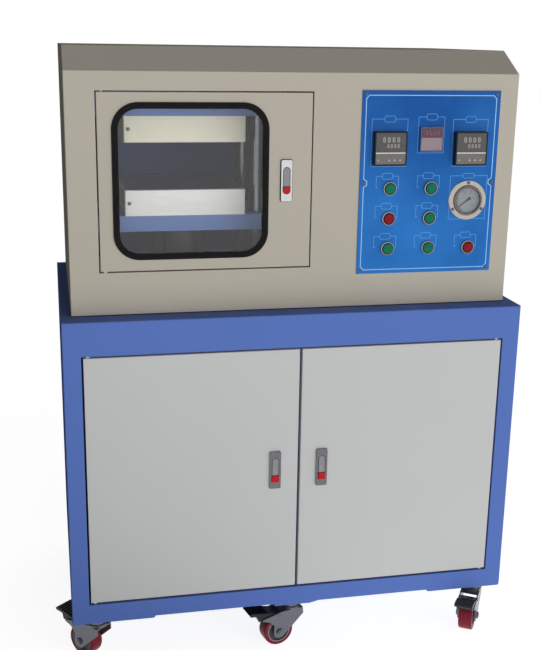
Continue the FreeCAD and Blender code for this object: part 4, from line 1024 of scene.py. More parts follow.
@dataclass(frozen=True)
class Studio:
    """Pale floor, soft light from the front, and the camera."""

    camera_at: Triple = (-0.47095, -2.19958, 1.25022)
    yaw: float = 0.2103
    pitch: float = 0.2666
    roll: float = 0.0154
    lens: float = 58.07
    floor_size: float = 30.0
    floor_shade: float = 0.6
    floor_lift: float = 0.87
    bounce: tuple[float, float, float, float, float] = (1.1, -1.0, -0.05, 0.5, 1.0)
    ambient: float = 0.07
    lobes: tuple[tuple[Triple, float, float, float], ...] = (
        ((0.50, -1.0, 0.0), 5.0, 5.2, 5.0), ((0.60, 1.0, 0.40), 3.0, 0.55, 0.0))

    def set_up(self) -> None:
        """Makes floor, light and camera."""
        bpy.context.scene.view_settings.view_transform = "Standard"
        self._floor()
        self._sky()
        self._camera()

    def _seen_directly(self, tree: Tree) -> Socket:
        """Tells the rays that show the background itself: seen, mirrored or looked at through glass.

        Args:
            tree: The tree that asks.

        Returns:
            1 for such rays, and 0 for the rest.
        """
        path = place(tree, "LightPath").outputs
        mirrored = sum_up(tree, "MAXIMUM", path["Is Glossy Ray"], path["Is Transmission Ray"])
        return sum_up(tree, "MAXIMUM", path["Is Camera Ray"], mirrored)

    def _floor(self) -> None:
        """A plain floor that shows white, keeps the machine's shadow and throws light up at the machine's front."""
        mesh = bmesh.new()
        bmesh.ops.create_grid(mesh, x_segments=1, y_segments=1, size=self.floor_size / 2)
        data = bpy.data.meshes.new("floor")
        mesh.to_mesh(data)
        mesh.free()
        floor = bpy.data.objects.new("floor", data)
        bpy.context.scene.collection.objects.link(floor)
        material = bpy.data.materials.new("pale_floor")
        material.use_nodes = True
        tree = material.node_tree
        tree.nodes.clear()
        matt = place(tree, "BsdfDiffuse", {"Color": (self.floor_shade,) * 3 + (1.0,)})
        seen = self._seen_directly(tree)
        lift = sum_up(tree, "MULTIPLY", seen, self.floor_lift)
        across, back, start, reach, top = self.bounce
        spot = place(tree, "SeparateXYZ", {0: place(tree, "TexCoord").outputs["Object"]}).outputs
        slant = sum_up(tree, "MULTIPLY_ADD", spot[0], across / reach,
                       sum_up(tree, "MULTIPLY_ADD", spot[1], back / reach, start / reach))
        pool = sum_up(tree, "MULTIPLY", sum_up(tree, "ADD", slant, 0.0, clamp=True), top)
        bounced = sum_up(tree, "MULTIPLY", pool, sum_up(tree, "SUBTRACT", 1.0, seen))
        glow = place(tree, "Emission", {"Color": (1, 1, 1, 1), "Strength": sum_up(tree, "ADD", lift, bounced)})
        both = place(tree, "AddShader", {0: matt.outputs[0], 1: glow.outputs[0]})
        place(tree, "OutputMaterial", {"Surface": both.outputs[0]})
        data.materials.append(material)

    def _sky(self) -> None:
        """A broad soft light low in front of the machine, a weak one behind, over an even fill."""
        world = bpy.data.worlds.new("studio")
        bpy.context.scene.world = world
        world.use_nodes = True
        tree = world.node_tree
        tree.nodes.clear()
        direction = place(tree, "TexCoord").outputs["Generated"]
        rise = place(tree, "SeparateXYZ", {0: direction}).outputs[2]
        level = sum_up(tree, "SUBTRACT", 1.0, sum_up(tree, "MULTIPLY", rise, rise))
        light: Any = self.ambient
        for towards, power, strength, flatness in self.lobes:
            dot = place(tree, "VectorMath", {0: direction, 1: tuple(Vector(towards).normalized())},
                        operation="DOT_PRODUCT").outputs["Value"]
            lobe = sum_up(tree, "POWER", sum_up(tree, "MAXIMUM", dot, 0.0), power)
            band = sum_up(tree, "MULTIPLY", lobe, sum_up(tree, "POWER", level, flatness))
            light = sum_up(tree, "MULTIPLY_ADD", band, strength, light)
        seen = self._seen_directly(tree)
        kept = sum_up(tree, "MULTIPLY", light, sum_up(tree, "SUBTRACT", 1.0, seen))
        sky = place(tree, "Background", {"Color": (1, 1, 1, 1), "Strength": sum_up(tree, "ADD", kept, seen)})
        place(tree, "OutputWorld", {"Surface": sky.outputs[0]})

    def _camera(self) -> None:
        """The camera that frames the whole machine."""
        data = bpy.data.cameras.new("view")
        data.sensor_width, data.lens = 36.0, self.lens
        data.clip_start, data.clip_end = 0.05, 60.0
        camera = bpy.data.objects.new("view", data)
        bpy.context.scene.collection.objects.link(camera)
        camera.matrix_world = (Matrix.Translation(self.camera_at) @ Matrix.Rotation(-self.yaw, 4, "Z")
                               @ Matrix.Rotation(math.pi / 2 - self.pitch, 4, "X")
                               @ Matrix.Rotation(self.roll, 4, "Z"))
        bpy.context.scene.camera = camera


# ------------------------------------------------------------------ sub-assemblies

@dataclass(frozen=True)
class Cabinet:
    """The blue frame with its side panels, rear covers and hinge pins."""

    cover_face: float = 280.0
    cover_gap: float = 4.0
    cover_inset: float = 12.0
    cover_screw: Pair = (4.0, 2.4)
    screw_rows: int = 3
    collar_bore: float = 3.02
    collar_radius: float = 5.0
    collar_play: float = 0.2
    hinges: tuple[tuple[str, int, float, float, float, float], ...] = (
        ("left_cabinet_door", -1, 8.5, 7.5, 4.5, 3.5), ("right_cabinet_door", 1, 8.5, 7.5, 4.5, 3.5),
        ("chamber_door", -1, 9.5, 6.5, 2.5, 0.0))

    def build(self) -> None:
        """Dresses the solids and adds screws and hinge knuckles."""
        dress(Stock.BLUE_ENAMEL, "cabinet_frame", "cabinet_side_panels", "rear_covers")
        dress(Stock.PIN_ZINC, "door_hinge_pins")
        self._cover_screws()
        self._knuckles()

    def _cover_screws(self) -> None:
        """Screws round both rear covers, with none in their middles."""
        low, high = span("rear_covers")
        deck = span("cabinet_frame")[1].z
        hood_low, hood_high = span("hood_shell")
        work, inset, rows = Workpiece(), self.cover_inset, self.screw_rows
        for x0, x1, z0, z1 in ((low.x, high.x, low.z, deck - self.cover_gap),
                               (hood_low.x, hood_high.x, deck, hood_high.z)):
            mid = (x0 + x1) / 2
            for x in (x0 + inset, mid, x1 - inset):
                for row in range(rows):
                    z = z0 + inset + (z1 - z0 - 2 * inset) * row / (rows - 1)
                    if x != mid or row != rows // 2:
                        work.screw((x, self.cover_face, z), BACK, *self.cover_screw)
        work.finish("rear_cover_screws", "machine", Stock.PIN_ZINC)

    def _knuckles(self) -> None:
        """The bright collars on the hinge pins, in the gaps below and above each door."""
        work, play = Workpiece(), self.collar_play
        for node, side, inset, depth, below, above in self.hinges:
            low, high = span(node)
            x = (low.x + inset) if side < 0 else (high.x - inset)
            gaps = [(low.z - below + play, low.z - play)]
            if above:
                gaps.append((high.z + play, high.z + above - play))
            for z0, z1 in gaps:
                work.turned(tube(self.collar_bore, self.collar_radius, z0, z1), (x, low.y + depth, 0), UP, 24)
        work.finish("hinge_collars", "machine", Stock.PIN_ZINC)


class ButtonForm(Enum):
    """The outline of a lock's release button."""

    SQUARE = "square"
    ROUND_FOOT = "round_foot"


@dataclass(frozen=True)
class FlushLock:
    """A flush push-button lock: plate with a channel, finger lever, release button."""

    name: str
    door: str
    form: ButtonForm
    plate: Stock
    handle: Stock
    key: Stock
    gasket: bool = False
    width: float = 22.9
    height: float = 79.5
    corner: float = 2.8
    proud: float = 4.0
    case_width: float = 20.0
    case_height: float = 72.0
    case_depth: float = 24.0
    lever_width: float = 13.6
    lever_top: float = 26.0
    lever_length: float = 36.4
    lever_thickness: float = 4.5
    button_size: float = 15.0
    button_drop: float = 18.2
    button_proud: float = 3.0
    play: float = 0.4
    dish: float = 1.5
    pin: Pair = (1.4, 9.9)
    gasket_reach: Triple = (2.8, 2.4, 1.3)

    def build(self) -> None:
        """Makes the plate, the lever and the button."""
        self._plate()
        self._lever()
        self._button()

    @property
    def at(self) -> Triple:
        """The plate's middle, on the door's sheet."""
        body = f"{self.name}_lock_body"
        return middle(body).x, span(body)[0].y + self.proud, middle(body).z

    def _plate(self) -> None:
        """The plate with its arched channel, the case behind the door's sheet, and a black block of painted shade in
        the channel.
        """
        x, sheet, z = self.at
        work = Workpiece()
        narrow, wide = self.lever_width / 2 + self.play, self.button_size / 2 + self.play
        top, mid = z + self.lever_top + self.play, z - self.button_drop + self.button_size / 2
        foot, c = mid - self.button_size - self.play, 0.9
        arch = arc(x, top - narrow, narrow, 1.0, 0.0, 14)
        well = [(x + wide, foot + c), (x + wide - c, foot), (x - wide + c, foot), (x - wide, foot + c)]
        if self.form is ButtonForm.ROUND_FOOT:
            well = arc(x, z - self.button_drop, wide, 0.0, -1.0, 20)
        hole = Polygon((*arch, (x + narrow, mid), (x + wide, mid), *well, (x - wide, mid), (x - narrow, mid)))
        work.pierced(Plaque(x, z, self.width, self.height, self.corner), [hole], sheet - self.proud, sheet, 1.1, 3)
        deep = sheet + 6.0
        work.pierced(Plaque(x, z, self.case_width, self.case_height), [hole], sheet, deep)
        work.block((x - self.case_width / 2, deep, z - self.case_height / 2),
                   (x + self.case_width / 2, sheet + self.case_depth, z + self.case_height / 2), 0.8)
        work.finish(f"{self.name}_lock_plate", self.door, self.plate, [f"{self.name}_lock_body"])
        # Painted shade: a black block behind the channel's sides stands for the shade in the gaps beside the lever.
        shade_block = Workpiece()
        shade_block.block((x - narrow, sheet + 1.6, mid + 0.3), (x + narrow, sheet + 2.2, top - narrow))
        shade_block.finish(f"{self.name}_lock_shade_block", self.door, Stock.CONTACT_BLACK)
        if not self.gasket:
            return
        gasket, (across, along, round_by) = Workpiece(), self.gasket_reach
        gasket.pierced(Plaque(x, z, self.width + across, self.height + along, self.corner + round_by),
                       [Plaque(x, z, self.width + 0.04, self.height + 0.04, self.corner)], sheet - 1.0, sheet, 0.2, 1)
        gasket.finish(f"{self.name}_lock_gasket", self.door, Stock.SEAL_RUBBER)

    def _lever(self) -> None:
        """The finger lever: a dished blade with a round knuckle, drawn back where it tips under the channel's arch."""
        work, (x, sheet, z) = Workpiece(), self.at
        half, w, summit = self.lever_thickness / 2, self.lever_width / 2 - 0.6, z + self.lever_top
        pivot_y, pivot_z = sheet - 1.5, summit - half
        low, high = summit - self.lever_length, pivot_z
        front = pivot_y - half - 0.6
        blade = work.block((x - w, front, low), (x + w, pivot_y + half - 0.2, high))
        edges = list({edge for vert in blade for edge in vert.link_edges})
        bmesh.ops.subdivide_edges(work.mesh, edges=edges, cuts=15, use_grid_fill=True)
        for vert in work.mesh.verts:
            if vert.co.y < front + 0.01:
                across, along = abs(vert.co.x - x) / w, (vert.co.z - low) / (high - low)
                dish = max(0.0, 1 - across ** 2) * max(0.0, math.sin(math.pi * min(1.0, along * 1.12))) ** 0.6
                vert.co.y += self.dish * dish
        for vert in work.mesh.verts:
            above = vert.co.z - (summit - w)
            if above > 0:
                vert.co.x = x + (vert.co.x - x) * math.sqrt(max(0.0, 1 - (above / w) ** 2))
            arch = math.sqrt(max(0.0, w ** 2 - (vert.co.x - x) ** 2)) - (w - half)
            room = max(0.0, arch) + 0.3 + 1.5 * (pivot_z - vert.co.z)
            vert.co.y = max(vert.co.y, pivot_y - room)
        barrel = [(math.sqrt(w ** 2 - across ** 2) - (w - half), across)
                  for across in [math.sqrt(w ** 2 - (w - half) ** 2) * step / 8 for step in range(-8, 9)]]
        pivot, (pin, reach) = (x, pivot_y, pivot_z), self.pin
        work.turned([(0, barrel[0][1]), *barrel[1:-1], (0, barrel[-1][1])], pivot, RIGHT, 24)
        work.turned([(0, -reach), (pin, -reach), (pin, reach), (0, reach)], pivot, RIGHT, 16)
        work.finish(f"{self.name}_lever_blade", f"{self.name}_lever", self.handle, [f"{self.name}_lock_lever"],
                    crease=40.0)

    def _button(self) -> None:
        """The release button, with a softened rim."""
        work, (x, sheet, z) = Workpiece(), self.at
        half, mid = self.button_size / 2, z - self.button_drop
        front, back = sheet - self.proud - self.button_proud, sheet + 3.0
        outline: Outline = Plaque(x, mid, self.button_size, self.button_size - 0.4, 2.0, 4)
        if self.form is ButtonForm.ROUND_FOOT:
            shoulder = mid + half - 0.4
            outline = Polygon(((x + half, shoulder - 1.0), (x + half - 1.0, shoulder), (x - half + 1.0, shoulder),
                               (x - half, shoulder - 1.0), *arc(x, mid, half, 1.0, 2.0, 20)))
        work.pierced(outline, [], front, back, 0.9, 3)
        work.finish(f"{self.name}_release_key", f"{self.name}_release", self.key, [f"{self.name}_lock_button"])


@dataclass(frozen=True)
class Hood:
    """The beige hood with a black strip of painted shade along its foot, the doors' sheets and the partition."""

    strip_height: float = 1.8
    strip_proud: float = 0.35
    strip_depth: float = 1.0
    strip_rear_gap: float = 4.0

    def build(self) -> None:
        """Dresses the sheet-metal solids and lays a black strip round the hood's foot, painted shade for the dark line
        where hood and deck meet.
        """
        dress(Stock.BEIGE_ENAMEL, "hood_shell", "chamber_partition", "chamber_door")
        dress(Stock.DOOR_ENAMEL, "left_cabinet_door", "right_cabinet_door")
        low, high = span("hood_shell")
        proud, inside, top = self.strip_proud, self.strip_depth, low.z + self.strip_height
        # The black strip along the hood's foot is painted shade for the dark line where hood and deck meet.
        work = Workpiece()
        work.block((low.x - proud, low.y - proud, low.z), (high.x + proud, low.y + inside, top))
        for x0, x1 in ((low.x - proud, low.x + inside), (high.x - inside, high.x + proud)):
            work.block((x0, low.y + inside, low.z), (x1, high.y - self.strip_rear_gap, top))
        work.finish("hood_foot_shade_strip", "machine", Stock.SEAL_RUBBER)


@dataclass(frozen=True)
class Window:
    """The pane and its extruded rubber seal with a locking bead."""

    corner: float = 50.0
    width: float = 12.2
    lip: float = 2.4
    bead: float = 3.2
    bead_inset: float = 4.6

    def build(self) -> None:
        """Makes the seal round the pane."""
        dress(Stock.PANE, "window_glass")
        low, high = span("window_seal")
        work = Workpiece()
        x, z = (low.x + high.x) / 2, (low.z + high.z) / 2
        wide, tall = high.x - low.x, high.z - low.z
        for inset, width, front, back, edge in (
                (0.0, self.width, low.y + 0.9, high.y, self.lip),
                (self.bead_inset, self.bead, low.y, low.y + 3.0, 1.1)):
            before = set(work.mesh.verts)
            work.line(Plaque(x, z, wide - 2 * inset, tall - 2 * inset, self.corner - inset, 14), width, front, back)
            rims = {e for v in work.mesh.verts if v not in before and abs(v.co.y - front) < 0.01
                    for e in v.link_edges if e.calc_face_angle(0.0) > 1.0
                    and abs(e.other_vert(v).co.y - front) < 0.01}
            work.soften(rims, edge, 4)
        work.finish("glazing_seal", "window_door", Stock.SEAL_RUBBER, ["window_seal"], crease=50.0)


CONTROLLERS_AT = ((178.1, 1048.5), (343.8, 1047.6))
TIMER_AT = (263.4, 1065.4)


def push_buttons() -> list[str]:
    """The panel's push-buttons, without the locks' buttons."""
    return sorted(name for name in frame["nodes"] if name.endswith("_button") and "lock" not in name)


def panel_face() -> float:
    """The panel's front along Y."""
    return span("control_panel")[0].y


@dataclass(frozen=True)
class ControlPanel:
    """The printed blue plate with its border, frames and screws."""

    border_insets: tuple[float, float, float, float] = (7.2, 7.9, 7.35, 8.65)
    border_width: float = 1.5
    border_cut: float = 6.5
    notch_reach: float = 6.5
    notch_half: float = 7.5
    ink: float = 0.07
    frame_width: float = 0.8
    screw_radius: float = 3.4
    screw_height: float = 1.8
    screw_inset: float = 7.9
    side_screw_rise: float = 1.5
    bracket_left: float = 28.5
    bracket_right: float = 18.0
    bracket_top: float = 25.0
    bracket_foot: float = 1.5
    foot_length: float = 4.5
    tab: Triple = (22.5, 12.3, 3.0)
    gauge_tab: Triple = (25.0, 10.0, 3.0)

    def build(self) -> None:
        """Dresses the plate and puts print and screws on it."""
        dress(Stock.PRINTED_BLUE, "control_panel")
        low, high = span("control_panel")
        self._border()
        self._frames()
        work = Workpiece()
        inset = self.screw_inset
        for x in (low.x + inset, high.x - inset):
            for z in (low.z + inset, (low.z + high.z) / 2 + self.side_screw_rise, high.z - inset):
                work.screw((x, low.y, z), FRONT, self.screw_radius, self.screw_height)
        work.finish("panel_screws", "machine", Stock.SCREW_DARK)

    def _border(self) -> None:
        """The pale line round the plate, which steps in round every screw."""
        low, high = span("control_panel")
        left, right, below, above = self.border_insets
        cut, reach, half = self.border_cut, self.notch_reach, self.notch_half
        x0, x1, z0, z1 = low.x + left, high.x - right, low.z + below, high.z - above
        mid, narrow = (low.z + high.z) / 2 + self.side_screw_rise, half * 0.45
        corners = ((x0 + cut, z0), (x1 - cut, z0), (x1, z0 + cut), (x1, mid - half), (x1 - reach, mid - narrow),
                   (x1 - reach, mid + narrow), (x1, mid + half), (x1, z1 - cut), (x1 - cut, z1),
                   (x0 + cut, z1), (x0, z1 - cut), (x0, mid + half), (x0 + reach, mid + narrow),
                   (x0 + reach, mid - narrow), (x0, mid - half), (x0, z0 + cut))
        work = Workpiece()
        work.line(Polygon(corners), self.border_width, low.y - self.ink, low.y)
        work.finish("panel_border", "machine", Stock.BORDER_INK)

    def _frames(self) -> None:
        """Thin frames round every control, each with a bare label tab in its top line."""
        work, w = Workpiece(), self.frame_width
        for node in push_buttons():
            at = middle(node)
            left, right, top = at.x - self.bracket_left, at.x + self.bracket_right, at.z + self.bracket_top
            foot, length = at.z + self.bracket_foot, self.foot_length
            self._top_with_tab(work, left, right, top, (left + right) / 2, self.tab)
            for x0, x1 in ((left, left + w), (right - w, right)):
                self._bar(work, x0, x1, foot + w, top - w)
            for x0, x1 in ((left, left + length), (right - length, right)):
                self._bar(work, x0, x1, foot, foot + w)
        gauge = middle("gauge_case")
        square, small, wide = (36.5, 36.5, 36.0, 56.0), (27.5, 26.5, 27.0, 43.0), (38.0, 40.0, 38.0, 49.0)
        for (x, z), (left, right, below, above), tab in (
                (CONTROLLERS_AT[0], square, self.tab), (CONTROLLERS_AT[1], square, self.tab),
                (TIMER_AT, small, self.tab), ((gauge.x, gauge.z), wide, self.gauge_tab)):
            x0, x1, z0, z1 = x - left, x + right, z - below, z + above
            self._top_with_tab(work, x0, x1, z1, x, tab)
            self._bar(work, x0, x0 + w, z0 + w, z1 - w)
            self._bar(work, x1 - w, x1, z0 + w, z1 - w)
            self._bar(work, x0, x1, z0, z0 + w)
        work.finish("panel_frames", "machine", Stock.FRAME_INK)

    def _bar(self, work: Workpiece, x0: float, x1: float, z0: float, z1: float) -> None:
        """One printed bar on the plate's face."""
        face = panel_face()
        work.block((x0, face - self.ink, z0), (x1, face, z1))

    def _top_with_tab(self, work: Workpiece, left: float, right: float, top: float, tab_at: float,
                      tab: Triple) -> None:
        """A frame's top line, broken by its tab.

        Args:
            work: The workpiece that takes it.
            left: The line's left end.
            right: The line's right end.
            top: The line's upper edge.
            tab_at: The tab's middle along X.
            tab: The tab's width, height and cut corners.
        """
        (wide, tall, cut), w, face = tab, self.frame_width, panel_face()
        work.line(Plaque(tab_at, top - w / 2, wide, tall, cut, 1), w, face - self.ink, face)
        for x0, x1 in ((left, tab_at - wide / 2), (tab_at + wide / 2, right)):
            self._bar(work, x0, x1, top - w, top)


@dataclass(frozen=True)
class PushButtons:
    """Chrome-ringed push-buttons with their contact blocks."""

    bezel_radius: float = 14.0
    bezel_proud: float = 4.5
    bore: float = 10.35
    barrel: float = 11.15
    barrel_length: float = 24.0
    cap_radius: float = 10.3
    cap_proud: float = 2.0
    cap_length: float = 13.0
    contact_width: float = 28.0
    contact_length: float = 22.0
    reds: tuple[str, ...] = ("heat_stop_button", "stop_button")

    def build(self) -> None:
        """Makes bezels, black rings of painted shade in the grooves round the caps, contact blocks and caps."""
        face = panel_face()
        bezels, gap_shade_rings, contacts = Workpiece(), Workpiece(), Workpiece()
        for name in push_buttons():
            at = (middle(name).x, face, middle(name).z)
            self._bezel(bezels, at)
            self._gasket(gap_shade_rings, at)
            self._contact(contacts, at)
            self._cap(name, at)
        bezels.finish("bezel_rings", "machine", Stock.BUTTON_CHROME, ["button_bezels"], crease=28.0)
        # The black rings are painted shade in the grooves between bezels and caps.
        gap_shade_rings.finish("button_gap_shade_rings", "machine", Stock.SEAL_RUBBER)
        contacts.finish("contact_blocks", "machine", Stock.CONTACT_BLACK)

    def _bezel(self, work: Workpiece, at: Point) -> None:
        """One bezel: a rolled ring that falls to the cap's bore.

        Args:
            work: The workpiece that takes it.
            at: The button's middle on the plate.
        """
        r, p, bore, neck = self.bezel_radius, self.bezel_proud, self.bore, self.barrel - 0.05
        rolled = [(r - 1.5 * (1 - math.cos(a)), -p * 0.42 - p * 0.58 * math.sin(a))
                  for a in [math.radians(step) for step in (18, 36, 54, 72, 90)]]
        work.turned([(bore, -p + 1.4), (bore, 12.0), (neck, 12.0), (neck, 0.0), (r, 0.0), (r, -p * 0.42), *rolled,
                     (bore + 1.7, -p), (bore + 1.35, -p + 0.3), (bore + 1.3, -p + 1.4), (bore, -p + 1.4)],
                    at, BACK, 56)

    def _gasket(self, work: Workpiece, at: Point) -> None:
        """One black ring between the bezel and its cap: painted shade in the groove there."""
        a, b, p = self.bore + 0.03, self.bore + 1.25, self.bezel_proud
        work.turned([(a, -p + 1.35), (a, -p + 0.5), (b, -p + 0.3), (b, -p + 1.35), (a, -p + 1.35)], at, BACK, 48)

    def _contact(self, work: Workpiece, at: Point) -> None:
        """The locking nut and the contact block behind the plate.

        Args:
            work: The workpiece that takes them.
            at: The button's middle on the plate.
        """
        (x, face, z), half, length = at, self.contact_width / 2, self.barrel_length
        work.block((x - half, face + length, z - half), (x + half, face + length + self.contact_length, z + half), 1.2)
        bore, barrel, nut = self.bore + 0.01, self.barrel, self.barrel + 2.4
        work.turned([(bore, 8.0), (nut, 8.0), (nut, 13.0), (barrel, 13.0), (barrel, length), (bore, length),
                     (bore, 8.0)], at, BACK, 32)

    def _cap(self, name: str, at: Point) -> None:
        """One cap: a crowned disc with a fine ring and a soft shoulder.

        Args:
            name: The button's solid.
            at: Its middle on the plate.
        """
        r, front = self.cap_radius, -self.bezel_proud - self.cap_proud
        profile = [(0, front), (r * 0.35, front + 0.04), (r * 0.68, front + 0.16), (r * 0.72, front + 0.42),
                   (r * 0.77, front + 0.42), (r * 0.81, front + 0.24), (r - 0.9, front + 0.5), (r - 0.3, front + 0.9),
                   (r, front + 1.7), (r, front + self.cap_length), (0, front + self.cap_length)]
        work = Workpiece()
        work.turned(profile, at, BACK, 48)
        stock = Stock.BUTTON_RED if name in self.reds else Stock.BUTTON_GREEN
        work.finish(name.replace("_button", "_key"), name.replace("_button", "_cap"), stock, [name])


SEGMENTS = {"0": "abcdef", "3": "abgcd", "8": "abcdefg"}


def digit_row(work: Workpiece, text: str, x: float, z: float, height: float, face: float) -> None:
    """A row of seven-segment digits.

    Args:
        work: The workpiece that takes it.
        text: The digits.
        x: The row's middle along X.
        z: The row's middle along Z.
        height: The digits' height.
        face: The window's face along Y.
    """
    pitch, bar, wide = height * 0.95, height * 0.15, height * 0.56
    places = {"a": (0, 1, 1), "g": (0, 0.5, 1), "d": (0, 0, 1), "f": (0, 0.75, 0), "b": (1, 0.75, 0),
              "e": (0, 0.25, 0), "c": (1, 0.25, 0)}
    for index, digit in enumerate(text):
        left = x + (index - len(text) / 2) * pitch + (pitch - wide) / 2
        for name in SEGMENTS[digit]:
            across, up, flat = places[name]
            cz = z + (up - 0.5) * (height - bar)
            if flat:
                cx, lx, lz = left + wide / 2, wide - bar * 1.3, bar
            else:
                cx, lx, lz = left + bar / 2 + across * (wide - bar), bar, height / 2 - bar * 1.25
            work.block((cx - lx / 2, face - 0.12, cz - lz / 2), (cx + lx / 2, face + 0.2, cz + lz / 2))


@dataclass(frozen=True)
class Housing:
    """A square instrument's housing: a hollow-fronted frame before the plate, and the case behind it."""

    size: float
    lip: float
    proud: float
    rim_depth: float
    depth: float
    corner: float
    edge: float

    def shape(self, work: Workpiece, x: float, z: float, face: float) -> None:
        """Makes frame, collar and case.

        Args:
            work: The workpiece that takes them.
            x: Their middle along X.
            z: Their middle along Z.
            face: The plate's face along Y.
        """
        outer, inner = Plaque(x, z, self.size, self.size, self.corner, 3), self.size - 2 * self.lip
        front = face - self.proud
        work.pierced(outer, [Plaque(x, z, inner, inner, self.corner * 0.4, 2)], front, front + self.rim_depth,
                     self.edge, 2)
        work.pierced(outer, [], front + self.rim_depth, face)
        half = self.size / 2 - self.corner
        work.block((x - half, face, z - half), (x + half, face + self.depth, z + half), 1.0)


@dataclass(frozen=True)
class Controllers:
    """Two square temperature controllers with their digits, bar and keys."""

    size: float = 65.5
    proud: float = 13.0
    depth: float = 78.0
    lip: float = 2.6
    digit_height: float = 10.0
    small_height: float = 7.4
    bar_share: float = 0.37
    key_rise: float = 10.3
    keys: tuple[Pair, ...] = ((-24.5, 1.7), (-2.8, 2.1), (8.3, 2.1), (19.5, 2.1))
    reading: str = "8888"

    def build(self) -> None:
        """Makes both instruments, one piece for each of their finishes."""
        face = panel_face()
        shells, windows, lowers, digits, trims, keys = (Workpiece() for _ in range(6))
        housing = Housing(self.size, self.lip, self.proud, 2.0, self.depth, 2.0, 0.5)
        for x, z in CONTROLLERS_AT:
            housing.shape(shells, x, z, face)
            h, y = self.size / 2 - self.lip, face - self.proud + 0.7
            split = z - self.size / 2 + self.size * self.bar_share
            windows.block((x - h, y, split + 1.3), (x + h, y + 1.2, z + h), 0.2, 1)
            lowers.block((x - h, y, z - h), (x + h, y + 1.2, split - 1.0), 0.2, 1)
            trims.block((x - h, y - 0.3, split - 1.0), (x + h, y + 1.0, split + 1.3), 0.25, 2)
            for key_x, size in self.keys:
                keys.turned([(0, -0.5), (size * 0.7, -0.5), (size, -0.1), (size, 0.6), (0, 0.6)],
                            (x + key_x, y, z - self.size / 2 + self.key_rise), BACK, 20)
            digit_row(digits, self.reading, x + 0.5, z + 17.0, self.digit_height, y)
            digit_row(digits, self.reading, x + 5.0, z + 5.0, self.small_height, y)
        shells.finish("controller_housings", "machine", Stock.HOUSING_BLACK, ["panel_instruments"])
        for part, name, stock in ((windows, "windows", Stock.FACE_GREY), (lowers, "keyboards", Stock.FACE_LOWER),
                                  (digits, "digits", Stock.DIGIT_GREY), (trims, "trims", Stock.TRIM_SILVER),
                                  (keys, "keys", Stock.KEY_GREY)):
            part.finish(f"controller_{name}", "machine", stock)


@dataclass(frozen=True)
class Timer:
    """The square timer: a dark red window over a pale keypad, under a clear cover."""

    size: float = 48.0
    proud: float = 6.0
    depth: float = 70.0
    lip: float = 2.4
    window_share: float = 0.43
    reading: str = "0300"
    key_pitch: Pair = (9.4, 10.0)

    def build(self) -> None:
        """Makes housing, window, keypad and cover."""
        face = panel_face()
        (x, z), inner = TIMER_AT, self.size - 2 * self.lip
        shell = Workpiece()
        Housing(self.size, self.lip, self.proud - 0.8, 2.2, self.depth, 1.5, 0.4).shape(shell, x, z, face)
        shell.finish("timer_housing", "machine", Stock.TIMER_RIM)
        i, y = inner / 2, face - self.proud + 2.0
        split = z + i - inner * self.window_share
        window, digits, keypad = Workpiece(), Workpiece(), Workpiece()
        window.block((x - i, y, split), (x + i, y + 1.2, z + i), 0.2, 1)
        window.finish("timer_window", "machine", Stock.TIMER_WINDOW)
        digit_row(digits, self.reading, x + 1.5, (split + z + i) / 2, 8.0, y)
        digits.finish("timer_digits", "machine", Stock.TIMER_DIGITS)
        keypad.block((x - i, y, z - i), (x + i, y + 1.2, split - 0.3), 0.2, 1)
        for column in range(4):
            for row in range(2):
                cx, cz = x + (column - 1.5) * self.key_pitch[0], z - i + 6.0 + row * self.key_pitch[1]
                keypad.pierced(Plaque(cx, cz, 7.0, 6.4, 1.2, 3), [], y - 0.5, y + 0.4, 0.3, 2)
        keypad.finish("timer_keypad", "machine", Stock.KEYPAD_PINK)
        cover = Workpiece()
        cover.pierced(Plaque(x, z, self.size - 1.0, self.size - 1.0, 1.4, 3), [], face - self.proud,
                      face - self.proud + 0.75, 0.3, 2)
        cover.finish("timer_cover", "machine", Stock.TIMER_COVER)


